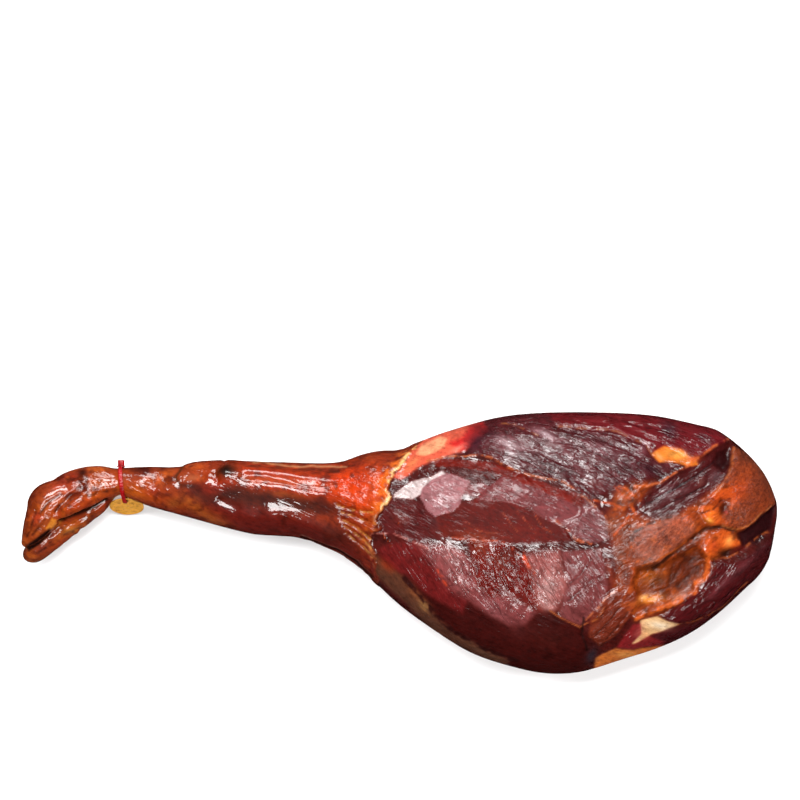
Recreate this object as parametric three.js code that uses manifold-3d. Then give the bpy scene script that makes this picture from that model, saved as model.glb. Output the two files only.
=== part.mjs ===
// A whole dry-cured ham with the trotter on, lying on its skin side with the boned, trimmed meat
// face up. A red pull-tight seal is looped round the ankle, and a round gold tag hangs on it.
// Units are millimetres. +X runs from the toes to the butt, +Z points up from the table, and the
// origin is the middle of the ham's footprint on the table.
import * as THREE from "three";
import { mergeVertices } from "three/addons/utils/BufferGeometryUtils.js";
import Module from "manifold-3d";

// ---------------------------------------------------------------- driving dimensions
const LEG_LENGTH = 630; // ankle to butt
const BUTT_WIDTH = 250; // across the widest part of the butt
const BUTT_THICKNESS = 95; // table to the crown of the meat face
const FOOT_LENGTH = 108; // ankle to the tip of the nearer toe

const STRAP_WIDTH = 4;
const STRAP_THICKNESS = 1.6;
const STRAP_FIT = 0.5; // air between the strap and the skin
const TAG_TUCK = 2.75; // how much nearer the leg the loop stands than a quarter of the tag's size
const STRAP_LEAN = 3; // how far the loop leans along the leg from its head to the tag
const SEAL_HEIGHT = 3.8; // from the ankle up the leg to the middle of the loop
const SEAL_HEAD_LENGTH = 6; // along the leg
const SEAL_HEAD_WIDTH = 6.5; // away from the leg
const SEAL_HEAD_HEIGHT = 5.6;
const SEAL_COLLAR = 0.9; // the lip round the mouth of the head

const TAG_DIAMETER = 33;
const TAG_THICKNESS = 0.9;
const TAG_HOLE_CLEARANCE = 0.5; // round the strap's corners
const TAG_HOLE_EDGE = 2.2; // metal left between the hole and the rim
const TAG_TABLE_GAP = 0.4; // under the tag's lowest point

const LEG_STATIONS = 54;
const LEG_SIDES = 40;
const LIMB_STEPS = 12;
const LIMB_SIDES = 16;

// ---------------------------------------------------------------- shape of the leg
// Points are [share of LEG_LENGTH from the ankle, share of the size named], for a smooth curve.
// Edges are shares of half BUTT_WIDTH from the leg's axis.
const UPPER_EDGE = [
  [0, 0.576], [0.05, 0.584], [0.088, 0.582], [0.111, 0.615], [0.149, 0.634], [0.217, 0.626],
  [0.293, 0.613], [0.338, 0.622], [0.371, 0.679], [0.399, 0.706], [0.432, 0.718], [0.476, 0.812],
  [0.523, 0.89], [0.581, 0.966], [0.641, 0.998], [0.732, 1.002], [0.816, 0.977], [0.884, 0.905],
  [0.914, 0.859], [0.952, 0.71], [0.978, 0.565], [0.992, 0.445], [1, 0.33],
];
const LOWER_EDGE = [
  [0, 0.374], [0.05, 0.275], [0.126, 0.168], [0.202, 0.069], [0.24, 0.05], [0.277, 0.031],
  [0.331, -0.084], [0.368, -0.202], [0.429, -0.481], [0.49, -0.702], [0.535, -0.84],
  [0.588, -0.935], [0.649, -1], [0.702, -0.992], [0.763, -0.901], [0.823, -0.802],
  [0.869, -0.695], [0.91, -0.55], [0.952, -0.355], [0.978, -0.221], [0.992, -0.06], [1, 0.18],
];
// Heights are shares of BUTT_THICKNESS above the table.
const CROWN = [
  [0, 0.52], [0.05, 0.555], [0.126, 0.62], [0.2, 0.66], [0.28, 0.69], [0.35, 0.76], [0.43, 0.88],
  [0.5, 0.96], [0.58, 1], [0.73, 1], [0.85, 0.96], [0.93, 0.87], [0.975, 0.75], [1, 0.6],
];
const WIDEST_LEVEL = [
  [0, 0.38], [0.126, 0.385], [0.28, 0.37], [0.43, 0.38], [0.6, 0.4], [0.85, 0.42], [1, 0.46],
];
// Where this falls below the table, the skin is pressed flat.
const KEEL = [
  [0, 0.24], [0.05, 0.215], [0.126, 0.165], [0.2, 0.125], [0.28, 0.1], [0.35, 0.06], [0.43, 0],
  [0.5, -0.04], [0.6, -0.06], [0.8, -0.06], [0.88, -0.03], [0.94, 0.04], [0.975, 0.14], [1, 0.33],
];
const SECTION_POWER = 2.2; // 2 is an ellipse, more is squarer

// ---------------------------------------------------------------- shape of the foot
// Each limb is a row of [toward butt, across, height, half width, half height] in shares of
// FOOT_LENGTH: the first two from the middle of the ankle, the height from the middle of the ankle.
const FOOT_LIMBS = {
  pastern: [
    [-0.06, -0.013, 0, 0.138, 0.138], [-0.17, -0.03, 0, 0.17, 0.16], [-0.31, -0.08, -0.01, 0.2, 0.185],
    [-0.45, -0.155, -0.02, 0.213, 0.195], [-0.56, -0.245, -0.02, 0.185, 0.18],
    [-0.62, -0.33, -0.02, 0.12, 0.14],
  ],
  near_toe: [
    [-0.46, -0.12, 0.05, 0.16, 0.13], [-0.593, -0.212, 0.075, 0.175, 0.125],
    [-0.664, -0.327, 0.08, 0.13, 0.115], [-0.726, -0.425, 0.07, 0.095, 0.1],
    [-0.779, -0.504, 0.05, 0.055, 0.075], [-0.83, -0.57, 0.035, 0.02, 0.035],
  ],
  far_toe: [
    [-0.08, -0.1, -0.03, 0.065, 0.09], [-0.2, -0.205, -0.07, 0.1, 0.12],
    [-0.31, -0.27, -0.1, 0.11, 0.145], [-0.434, -0.345, -0.115, 0.12, 0.145],
    [-0.558, -0.465, -0.12, 0.11, 0.135], [-0.655, -0.562, -0.12, 0.095, 0.125],
    [-0.735, -0.638, -0.12, 0.088, 0.105], [-0.79, -0.685, -0.12, 0.065, 0.07],
    [-0.82, -0.72, -0.12, 0.02, 0.03],
  ],
  near_dewclaw: [
    [-0.22, -0.14, 0.09, 0.075, 0.085], [-0.33, -0.195, 0.115, 0.078, 0.085],
    [-0.434, -0.257, 0.12, 0.072, 0.078], [-0.504, -0.3, 0.11, 0.055, 0.06],
    [-0.55, -0.332, 0.095, 0.02, 0.025],
  ],
  far_dewclaw: [
    [-0.17, -0.2, -0.04, 0.05, 0.06], [-0.257, -0.28, -0.05, 0.065, 0.075],
    [-0.345, -0.36, -0.055, 0.066, 0.075], [-0.39, -0.42, -0.05, 0.045, 0.055],
    [-0.385, -0.46, -0.045, 0.02, 0.025],
  ],
};

// ---------------------------------------------------------------- curves and lofts
// Smooth height of a curve through points [x, y] at x.
function curveAt(points, x) {
  let i = 0;
  while (i < points.length - 2 && x > points[i + 1][0]) i++;
  const slope = (k) => {
    const a = points[Math.max(k - 1, 0)];
    const b = points[Math.min(k + 1, points.length - 1)];
    return (b[1] - a[1]) / (b[0] - a[0]);
  };
  const [x0, y0] = points[i];
  const [x1, y1] = points[i + 1];
  const step = x1 - x0;
  const t = (x - x0) / step;
  return (
    y0 * (1 + 2 * t) * (1 - t) ** 2 + slope(i) * step * t * (1 - t) ** 2 +
    y1 * t * t * (3 - 2 * t) + slope(i + 1) * step * t * t * (t - 1)
  );
}

// One skin over a row of rings with equal numbers of points: capped at both ends, or closed round.
function loft(rings, closed = false) {
  const sides = rings[0].length;
  const points = rings.flat();
  const faces = [];
  const spans = closed ? rings.length : rings.length - 1;
  for (let i = 0; i < spans; i++)
    for (let j = 0; j < sides; j++) {
      const k = (j + 1) % sides;
      const a = i * sides;
      const b = ((i + 1) % rings.length) * sides;
      faces.push(a + j, b + k, b + j, a + j, a + k, b + k);
    }
  if (!closed)
    for (const [ring, first] of [[0, 0], [rings.length - 1, (rings.length - 1) * sides]]) {
      const middle = new THREE.Vector3();
      rings[ring].forEach((p) => middle.addScaledVector(p, 1 / sides));
      const hub = points.push(middle) - 1;
      for (let j = 0; j < sides; j++) {
        const k = (j + 1) % sides;
        if (ring === 0) faces.push(hub, first + k, first + j);
        else faces.push(hub, first + j, first + k);
      }
    }
  const geometry = new THREE.BufferGeometry().setFromPoints(points);
  geometry.setIndex(faces);
  return geometry;
}

// A squared-off cosine or sine, for superelliptic sections.
const squared = (v) => Math.sign(v) * Math.abs(v) ** (2 / SECTION_POWER);

function legSection(share, sides = LEG_SIDES) {
  const half = BUTT_WIDTH / 2;
  const upper = curveAt(UPPER_EDGE, share) * half;
  const lower = curveAt(LOWER_EDGE, share) * half;
  const crown = curveAt(CROWN, share) * BUTT_THICKNESS;
  const widest = curveAt(WIDEST_LEVEL, share) * BUTT_THICKNESS;
  const keel = curveAt(KEEL, share) * BUTT_THICKNESS;
  return {
    x: share * LEG_LENGTH,
    middle: (upper + lower) / 2,
    halfWidth: (upper - lower) / 2,
    widest,
    above: crown - widest,
    below: widest - keel,
    ring(grow = 0) {
      const points = [];
      for (let j = 0; j < sides; j++) {
        const turn = (2 * Math.PI * j) / sides;
        const up = Math.sin(turn);
        const rise = (up > 0 ? this.above : this.below) + grow;
        points.push(new THREE.Vector3(
          this.x,
          this.middle + (this.halfWidth + grow) * squared(Math.cos(turn)),
          Math.max(0, this.widest + rise * squared(up)),
        ));
      }
      return points;
    },
  };
}

function legGeometry() {
  const rings = [];
  for (let i = 0; i <= LEG_STATIONS; i++) {
    const t = i / LEG_STATIONS;
    rings.push(legSection(1 - (1 - t) ** 1.35).ring()); // closer together towards the butt
  }
  return loft(rings);
}

function limbGeometry(rows, ankle) {
  const at = (row) => new THREE.Vector3(...row.slice(0, 3)).multiplyScalar(FOOT_LENGTH).add(ankle);
  const path = new THREE.CatmullRomCurve3(rows.map(at), false, "centripetal");
  const upright = new THREE.Vector3(0, 0, 1);
  const rings = [];
  for (let i = 0; i <= LIMB_STEPS; i++) {
    const t = i / LIMB_STEPS;
    const centre = path.getPoint(t);
    const along = path.getTangent(t);
    const side = new THREE.Vector3().crossVectors(upright, along).normalize();
    const up = new THREE.Vector3().crossVectors(along, side);
    const size = (column) =>
      curveAt(rows.map((row, k) => [k / (rows.length - 1), row[column]]), t) * FOOT_LENGTH;
    rings.push(Array.from({ length: LIMB_SIDES }, (_, j) => {
      const turn = (2 * Math.PI * j) / LIMB_SIDES;
      return centre.clone()
        .addScaledVector(side, size(3) * Math.cos(turn))
        .addScaledVector(up, size(4) * Math.sin(turn));
    }));
  }
  return loft(rings);
}

// ---------------------------------------------------------------- solids
const wasm = await Module();
wasm.setup();

function solidFrom(geometry) {
  const bare = new THREE.BufferGeometry().setAttribute("position", geometry.getAttribute("position"));
  if (geometry.index) bare.setIndex(geometry.index);
  const merged = mergeVertices(bare, 1e-4);
  const solid = new wasm.Manifold(new wasm.Mesh({
    numProp: 3,
    vertProperties: merged.getAttribute("position").array,
    triVerts: new Uint32Array(merged.index.array),
  }));
  return solid;
}

function geometryFrom(solid) {
  const { vertProperties, triVerts } = solid.getMesh();
  const geometry = new THREE.BufferGeometry();
  geometry.setAttribute("position", new THREE.BufferAttribute(new Float32Array(vertProperties), 3));
  geometry.setIndex(new THREE.BufferAttribute(new Uint32Array(triVerts), 1));
  geometry.computeVertexNormals();
  return geometry;
}

// The middle of the leg's section at the ankle, where the foot joins and the seal is looped.
const ankle = legSection(0);
const ankleMiddle = new THREE.Vector3(
  0, ankle.middle, ankle.widest + (ankle.above - ankle.below) / 2,
);
// The pastern's root lies inside the ankle, whatever the ankle's size.
const rootInAnkle = (along, share) => [
  along, 0, 0,
  (share * ankle.halfWidth) / FOOT_LENGTH,
  (share * (ankle.above + ankle.below)) / 2 / FOOT_LENGTH,
];
FOOT_LIMBS.pastern.unshift(rootInAnkle(0.1, 0.65), rootInAnkle(0.02, 0.88));

function hamGeometry() {
  let ham = solidFrom(legGeometry());
  for (const rows of Object.values(FOOT_LIMBS))
    ham = ham.add(solidFrom(limbGeometry(rows, ankleMiddle)));
  return geometryFrom(ham);
}

// ---------------------------------------------------------------- seal
// The loop clears the widest part of the leg that it crosses, which is at its own upper edge.
const sealLeg = legSection((SEAL_HEIGHT + (STRAP_WIDTH + STRAP_LEAN) / 2) / LEG_LENGTH);
const strapMiddle = STRAP_FIT + STRAP_THICKNESS / 2; // skin to the middle of the strap
const strapSlack = TAG_DIAMETER / 4 - TAG_TUCK; // so that the tag's rim clears the skin
const sealCentre = {
  x: SEAL_HEIGHT,
  y: sealLeg.middle,
  z: sealLeg.widest + (sealLeg.above - sealLeg.below) / 2,
};
const sealReach = {
  y: sealLeg.halfWidth + strapMiddle,
  z: (sealLeg.above + sealLeg.below) / 2 + strapMiddle,
};
// Where the strap goes through the tag, from the middle of the leg.
const tagHang = { y: -(sealReach.y + strapSlack * 0.72), z: -0.55 * sealReach.z };

// Points [y, z] of the loop's centre line from the middle of the leg, from the head round by the
// top of the leg to the tag and back under the leg.
function loopPoints() {
  const hug = (degrees) => {
    const turn = THREE.MathUtils.degToRad(degrees);
    return [sealReach.y * squared(Math.cos(turn)), sealReach.z * squared(Math.sin(turn))];
  };
  return [
    ...[0, 24, 48, 72, 96, 120, 140].map(hug),
    [-(sealReach.y + strapSlack * 0.55), 0.22 * sealReach.z],
    [-(sealReach.y + strapSlack), -0.2 * sealReach.z],
    [tagHang.y, tagHang.z],
    [-0.72 * sealReach.y, -0.98 * sealReach.z],
    ...[252, 272, 292, 314, 338].map(hug),
  ];
}

function strapGeometry() {
  const lean = (y) => (-y / sealReach.y) * (STRAP_LEAN / 2);
  const path = new THREE.CatmullRomCurve3(
    loopPoints().map(([y, z]) => new THREE.Vector3(
      sealCentre.x + lean(y), sealCentre.y + y, sealCentre.z + z,
    )),
    true,
  );
  const across = new THREE.Vector3(1, 0, 0);
  const steps = 72;
  const corner = STRAP_THICKNESS * 0.3;
  const halfWidth = STRAP_WIDTH / 2;
  const halfThickness = STRAP_THICKNESS / 2;
  const section = [
    [halfWidth, halfThickness - corner], [halfWidth - corner, halfThickness],
    [corner - halfWidth, halfThickness], [-halfWidth, halfThickness - corner],
    [-halfWidth, corner - halfThickness], [corner - halfWidth, -halfThickness],
    [halfWidth - corner, -halfThickness], [halfWidth, corner - halfThickness],
  ];
  const rings = [];
  for (let i = 0; i < steps; i++) {
    const centre = path.getPoint(i / steps);
    const outward = new THREE.Vector3().crossVectors(path.getTangent(i / steps), across).normalize();
    rings.push(section.map(([w, t]) =>
      centre.clone().addScaledVector(across, w).addScaledVector(outward, t)));
  }
  return loft(rings, true);
}

// The head stands on the leg's upper side, with a collar where the strap leaves it.
function sealGeometry() {
  const headMiddle = new THREE.Vector3(
    sealCentre.x - STRAP_LEAN / 2,
    sealCentre.y + sealReach.y - STRAP_THICKNESS / 2 + SEAL_HEAD_WIDTH / 2,
    sealCentre.z,
  );
  const head = new THREE.BoxGeometry(SEAL_HEAD_LENGTH, SEAL_HEAD_WIDTH, SEAL_HEAD_HEIGHT);
  head.translate(...headMiddle);
  const collar = new THREE.BoxGeometry(
    SEAL_HEAD_LENGTH + 2 * SEAL_COLLAR, SEAL_COLLAR, SEAL_HEAD_HEIGHT + 2 * SEAL_COLLAR,
  );
  collar.translate(headMiddle.x, headMiddle.y - SEAL_HEAD_WIDTH / 2 + SEAL_COLLAR / 2, headMiddle.z);
  const strap = solidFrom(strapGeometry());
  return geometryFrom(strap.add(solidFrom(head)).add(solidFrom(collar)));
}

// ---------------------------------------------------------------- tag
// The tag hangs from its hole and leans down and away from the leg until it nearly meets the table.
function tagGeometry() {
  const radius = TAG_DIAMETER / 2;
  const holeRadius = Math.hypot(STRAP_WIDTH, STRAP_THICKNESS) / 2 + TAG_HOLE_CLEARANCE;
  const holeOffset = radius - TAG_HOLE_EDGE - holeRadius;
  const hole = new THREE.Vector3(
    sealCentre.x - (tagHang.y / sealReach.y) * (STRAP_LEAN / 2),
    sealCentre.y + tagHang.y,
    sealCentre.z + tagHang.z,
  );
  const drop = hole.z - TAG_TABLE_GAP;
  const lean = Math.asin(Math.min(0.97, drop / (holeOffset + radius)));
  const face = new THREE.Shape().absarc(0, 0, radius, 0, 2 * Math.PI);
  face.holes.push(new THREE.Path().absarc(0, holeOffset, holeRadius, 0, 2 * Math.PI, true));
  const disc = new THREE.ExtrudeGeometry(face, {
    depth: TAG_THICKNESS, bevelEnabled: false, curveSegments: 28,
  });
  disc.translate(0, -holeOffset, -TAG_THICKNESS / 2);
  disc.rotateX(lean);
  disc.translate(...hole);
  return disc;
}

// ---------------------------------------------------------------- assembly
const finish = (color, roughness, metalness = 0) =>
  new THREE.MeshStandardMaterial({ color, roughness, metalness });

const pieces = [
  ["ham", hamGeometry(), finish(0x6b2216, 0.35)],
  ["ankle_seal", sealGeometry(), finish(0xb01417, 0.3)],
  ["gold_tag", tagGeometry(), finish(0xc8882e, 0.35, 0.7)],
];

const model = new THREE.Group();
for (const [name, geometry, material] of pieces) {
  const mesh = new THREE.Mesh(geometry, material);
  mesh.name = name;
  model.add(mesh);
}
// The footprint's middle becomes the origin.
const box = new THREE.Box3().setFromObject(model);
model.position.set(-(box.min.x + box.max.x) / 2, -(box.min.y + box.max.y) / 2, -box.min.z);

export default model;
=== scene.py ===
"""A whole dry-cured ham with its trotter, an ankle seal and a gold tag, seen from above.

Face places are millimetres in the part's own frame: +X towards the butt, +Y towards the seal's head,
the origin in the middle of the footprint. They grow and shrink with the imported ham's box.
"""
import math

import bpy
import numpy as np
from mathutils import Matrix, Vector


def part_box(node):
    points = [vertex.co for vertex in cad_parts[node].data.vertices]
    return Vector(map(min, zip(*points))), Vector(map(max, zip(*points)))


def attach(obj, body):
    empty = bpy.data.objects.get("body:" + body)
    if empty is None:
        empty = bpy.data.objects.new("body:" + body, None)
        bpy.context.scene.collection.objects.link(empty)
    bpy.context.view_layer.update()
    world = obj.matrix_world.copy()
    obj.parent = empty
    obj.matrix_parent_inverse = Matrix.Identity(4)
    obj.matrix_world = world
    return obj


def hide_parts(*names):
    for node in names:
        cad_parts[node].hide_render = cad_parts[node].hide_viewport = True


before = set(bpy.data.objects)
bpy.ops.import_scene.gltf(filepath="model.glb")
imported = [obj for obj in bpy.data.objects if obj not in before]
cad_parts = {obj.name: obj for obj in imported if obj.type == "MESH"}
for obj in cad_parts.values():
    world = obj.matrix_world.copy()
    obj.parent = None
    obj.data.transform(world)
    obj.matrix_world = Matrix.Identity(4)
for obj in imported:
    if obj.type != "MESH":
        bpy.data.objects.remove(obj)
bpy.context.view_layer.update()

# ---------------------------------------------------------------- places from the frame
ham_low, ham_high = (np.array(corner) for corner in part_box("ham"))
ham_size = ham_high - ham_low
MM = ham_size[0] / 721.4  # one face millimetre, in metres
LEG_LENGTH = 630 * MM
ANKLE_X = ham_high[0] - LEG_LENGTH
EDGE_REACH, CROWN_REACH = 1.0047, 1.006  # the smooth curves swing this far past their points
HALF_WIDTH = ham_size[1] / 2 / EDGE_REACH
THICKNESS = ham_size[2] / CROWN_REACH
FOOT_LENGTH = 108 * MM
VOXEL = 1.45 * MM
PAINT_POWER = 1.15  # paints are listed as they look under bright studio light
PAINT_SHARE = 0.58

# ---------------------------------------------------------------- shape of the leg and foot
# The same shape as the CAD ham: [share of the leg from the ankle, share of the half width].
UPPER_EDGE = [
    (0, 0.576), (0.05, 0.584), (0.088, 0.582), (0.111, 0.615), (0.149, 0.634), (0.217, 0.626),
    (0.293, 0.613), (0.338, 0.622), (0.371, 0.679), (0.399, 0.706), (0.432, 0.718), (0.476, 0.812),
    (0.523, 0.89), (0.581, 0.966), (0.641, 0.998), (0.732, 1.002), (0.816, 0.977), (0.884, 0.905),
    (0.914, 0.859), (0.952, 0.71), (0.978, 0.565), (0.992, 0.445), (1, 0.33),
]
LOWER_EDGE = [
    (0, 0.374), (0.05, 0.275), (0.126, 0.168), (0.202, 0.069), (0.24, 0.05), (0.277, 0.031),
    (0.331, -0.084), (0.368, -0.202), (0.429, -0.481), (0.49, -0.702), (0.535, -0.84),
    (0.588, -0.935), (0.649, -1), (0.702, -0.992), (0.763, -0.901), (0.823, -0.802),
    (0.869, -0.695), (0.91, -0.55), (0.952, -0.355), (0.978, -0.221), (0.992, -0.06), (1, 0.18),
]
# Shares of the thickness above the table.
CROWN = [
    (0, 0.52), (0.05, 0.555), (0.126, 0.62), (0.2, 0.66), (0.28, 0.69), (0.35, 0.76), (0.43, 0.88),
    (0.5, 0.96), (0.58, 1), (0.73, 1), (0.85, 0.96), (0.93, 0.87), (0.975, 0.75), (1, 0.6),
]
WIDEST_LEVEL = [
    (0, 0.38), (0.126, 0.385), (0.28, 0.37), (0.43, 0.38), (0.6, 0.4), (0.85, 0.42), (1, 0.46),
]
KEEL = [
    (0, 0.24), (0.05, 0.215), (0.126, 0.165), (0.2, 0.125), (0.28, 0.1), (0.35, 0.06), (0.43, 0),
    (0.5, -0.04), (0.6, -0.06), (0.8, -0.06), (0.88, -0.03), (0.94, 0.04), (0.975, 0.14), (1, 0.33),
]
SECTION_POWER = 2.2

# [toward butt, across, height, half width, half height] from the middle of the ankle, in shares
# of the foot's length.
FOOT_LIMBS = [
    [  # pastern
        (0.1, 0, 0, 0.08, 0.09), (0.02, 0, 0, 0.11, 0.12), (-0.06, -0.013, 0, 0.138, 0.138),
        (-0.17, -0.03, 0, 0.17, 0.16), (-0.31, -0.08, -0.01, 0.2, 0.185),
        (-0.45, -0.155, -0.02, 0.213, 0.195), (-0.56, -0.245, -0.02, 0.185, 0.18),
        (-0.62, -0.33, -0.02, 0.12, 0.14),
    ],
    [  # near toe
        (-0.46, -0.12, 0.05, 0.16, 0.13), (-0.6, -0.205, 0.075, 0.195, 0.13),
        (-0.672, -0.32, 0.08, 0.152, 0.12), (-0.73, -0.42, 0.07, 0.118, 0.11),
        (-0.785, -0.508, 0.05, 0.078, 0.085), (-0.838, -0.575, 0.035, 0.03, 0.045),
    ],
    [  # far toe
        (-0.08, -0.1, -0.03, 0.065, 0.09), (-0.2, -0.205, -0.07, 0.1, 0.12),
        (-0.31, -0.27, -0.1, 0.11, 0.145), (-0.434, -0.345, -0.115, 0.12, 0.145),
        (-0.558, -0.465, -0.11, 0.115, 0.14), (-0.66, -0.557, -0.1, 0.105, 0.14),
        (-0.748, -0.63, -0.1, 0.098, 0.125), (-0.808, -0.672, -0.11, 0.078, 0.1),
        (-0.84, -0.7, -0.12, 0.035, 0.05),
    ],
    [  # near dewclaw
        (-0.22, -0.14, 0.09, 0.075, 0.085), (-0.33, -0.195, 0.115, 0.078, 0.085),
        (-0.434, -0.257, 0.12, 0.072, 0.078), (-0.504, -0.3, 0.11, 0.055, 0.06),
        (-0.55, -0.332, 0.095, 0.02, 0.025),
    ],
    [  # far dewclaw
        (-0.17, -0.2, -0.04, 0.05, 0.06), (-0.257, -0.28, -0.05, 0.065, 0.075),
        (-0.345, -0.36, -0.055, 0.066, 0.075), (-0.39, -0.42, -0.05, 0.045, 0.055),
        (-0.385, -0.46, -0.045, 0.02, 0.025),
    ],
]


# ---------------------------------------------------------------- curves
def curve_at(points, x):
    """Smooth height of the curve through points (x, y) at each x."""
    points = np.array(points, float)
    px, py = points[:, 0], points[:, 1]
    slopes = np.empty(len(px))
    slopes[1:-1] = (py[2:] - py[:-2]) / (px[2:] - px[:-2])
    slopes[0] = (py[1] - py[0]) / (px[1] - px[0])
    slopes[-1] = (py[-1] - py[-2]) / (px[-1] - px[-2])
    x = np.asarray(x, float)
    i = np.clip(np.searchsorted(px, x, side="right") - 1, 0, len(px) - 2)
    step = px[i + 1] - px[i]
    t = np.clip((x - px[i]) / step, 0, 1)
    return (
        py[i] * (1 + 2 * t) * (1 - t) ** 2 + slopes[i] * step * t * (1 - t) ** 2
        + py[i + 1] * t * t * (3 - 2 * t) + slopes[i + 1] * step * t * t * (t - 1)
    )


def smooth_path(points, steps, closed=False):
    """Points along a Catmull-Rom curve, evenly by parameter."""
    points = np.array(points, float)
    count = len(points)
    spans = count if closed else count - 1
    t = np.arange(steps) / steps * spans if closed else np.linspace(0, spans, steps)
    i = np.minimum(t.astype(int), spans - 1)
    f = (t - i)[:, None]

    def pick(k):
        return points[k % count] if closed else points[np.clip(k, 0, count - 1)]

    a, b, c, d = pick(i - 1), pick(i), pick(i + 1), pick(i + 2)
    return 0.5 * (
        2 * b + (c - a) * f + (2 * a - 5 * b + 4 * c - d) * f**2 + (3 * b - a - 3 * c + d) * f**3
    )


def smooth_step(value, low, high):
    t = np.clip((value - low) / (high - low), 0, 1)
    return t * t * (3 - 2 * t)


# ---------------------------------------------------------------- lofts
def loft(rings, closed=False):
    """Vertices and faces of one skin over rings of equal length."""
    count, sides = len(rings), len(rings[0])
    vertices = [tuple(p) for ring in rings for p in ring]
    faces = []
    for i in range(count if closed else count - 1):
        a, b = i * sides, (i + 1) % count * sides
        for j in range(sides):
            k = (j + 1) % sides
            faces.append((a + j, a + k, b + k, b + j))
    if not closed:
        faces.append(tuple(range(sides))[::-1])
        faces.append(tuple(range((count - 1) * sides, count * sides)))
    return vertices, faces


def squared(value):
    return np.sign(value) * np.abs(value) ** (2 / SECTION_POWER)


def leg_rings(stations=150, sides=120):
    turn = np.arange(sides) / sides * 2 * np.pi
    rings = []
    for t in np.linspace(0, 1, stations):
        share = 1 - (1 - t) ** 1.35
        upper = curve_at(UPPER_EDGE, share) * HALF_WIDTH
        lower = curve_at(LOWER_EDGE, share) * HALF_WIDTH
        widest = curve_at(WIDEST_LEVEL, share) * THICKNESS
        above = curve_at(CROWN, share) * THICKNESS - widest
        below = widest - curve_at(KEEL, share) * THICKNESS
        rise = np.where(np.sin(turn) > 0, above, below)
        ring = np.empty((sides, 3))
        ring[:, 0] = ANKLE_X + share * LEG_LENGTH
        ring[:, 1] = (upper + lower) / 2 + (upper - lower) / 2 * squared(np.cos(turn))
        ring[:, 2] = np.maximum(0, widest + rise * squared(np.sin(turn)))
        rings.append(ring)
    return rings


ANKLE_MIDDLE = np.array([
    ANKLE_X,
    (UPPER_EDGE[0][1] + LOWER_EDGE[0][1]) / 2 * HALF_WIDTH,
    (CROWN[0][1] + KEEL[0][1]) / 2 * THICKNESS,
])


def limb_rings(rows, steps=40, sides=32):
    path = smooth_path([np.array(row[:3]) * FOOT_LENGTH + ANKLE_MIDDLE for row in rows], steps)
    size = smooth_path([row[3:] for row in rows], steps) * FOOT_LENGTH
    along = np.gradient(path, axis=0)
    along /= np.linalg.norm(along, axis=1, keepdims=True)
    turn = np.arange(sides)[:, None] / sides * 2 * np.pi
    rings = []
    for centre, direction, (wide, high) in zip(path, along, size):
        side = np.cross((0, 0, 1), direction)
        side /= np.linalg.norm(side)
        up = np.cross(direction, side)
        rings.append(centre + side * wide * np.cos(turn) + up * high * np.sin(turn))
    return rings


# ---------------------------------------------------------------- mesh objects
def new_object(name, vertices, faces):
    mesh = bpy.data.meshes.new(name)
    mesh.from_pydata([tuple(v) for v in vertices], [], faces)
    mesh.update()
    piece = bpy.data.objects.new(name, mesh)
    bpy.context.scene.collection.objects.link(piece)
    return piece


def joined(name, parts):
    vertices, faces = [], []
    for part_vertices, part_faces in parts:
        start = len(vertices)
        vertices += list(part_vertices)
        faces += [tuple(start + i for i in face) for face in part_faces]
    return new_object(name, vertices, faces)


def apply_modifiers(piece):
    evaluated = piece.evaluated_get(bpy.context.evaluated_depsgraph_get())
    mesh = bpy.data.meshes.new_from_object(evaluated)
    piece.modifiers.clear()
    old, piece.data = piece.data, mesh
    mesh.name = piece.name
    bpy.data.meshes.remove(old)


def vertex_array(piece):
    points = np.empty(len(piece.data.vertices) * 3)
    piece.data.vertices.foreach_get("co", points)
    return points.reshape(-1, 3)


def evened_vertices(piece, rounds):
    """The piece's vertices after some rounds of smoothing, with the piece left as it is."""
    smooth = piece.modifiers.new("even", "SMOOTH")
    smooth.iterations = rounds
    even = vertex_array(piece.evaluated_get(bpy.context.evaluated_depsgraph_get()))
    piece.modifiers.clear()
    return even


def vertex_normals(piece):
    normals = np.empty(len(piece.data.vertices) * 3)
    piece.data.vertex_normals.foreach_get("vector", normals)
    return normals.reshape(-1, 3)


def set_vertices(piece, points):
    piece.data.vertices.foreach_set("co", points.ravel())
    piece.data.update()


# ---------------------------------------------------------------- noise and brushes
def hashed(cells, seed):
    """A repeatable number from 0 to 1 for each whole-number cell."""
    h = (cells[..., 0] * 374761393 + cells[..., 1] * 668265263 + cells[..., 2] * 2147483647
         + seed * 1274126177) & 0xFFFFFFFF
    h = ((h ^ (h >> 13)) * 1274126177) & 0xFFFFFFFF
    h = ((h ^ (h >> 16)) * 2246822519) & 0xFFFFFFFF
    return ((h ^ (h >> 15)) & 0xFFFFFF) / 0xFFFFFF


def noise(points, scale, seed=0, octaves=1):
    """Smooth noise from -1 to 1 at millimetre points, with lumps about one scale across."""
    total, weight, reach = 0, 1.0, 0.0
    for octave in range(octaves):
        p = points / scale * 2**octave + 17.3 * octave
        cell = np.floor(p).astype(np.int64)
        f = p - cell
        f = f * f * f * (f * (f * 6 - 15) + 10)
        value = 0
        for corner in np.ndindex(2, 2, 2):
            share = np.prod(np.where(np.array(corner), f, 1 - f), axis=1)
            value = value + share * hashed(cell + corner, seed + octave)
        total = total + weight * (value * 2 - 1)
        reach += weight
        weight *= 0.5
    return total / reach


def stretched(points, angle, along, across=1.0):
    """Points turned so that noise of them runs lengthwise at an angle in degrees on the face."""
    c, s = math.cos(math.radians(angle)), math.sin(math.radians(angle))
    x, y, z = points.T
    return np.column_stack([(x * c + y * s) / along, (y * c - x * s) / across, z / across])


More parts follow.
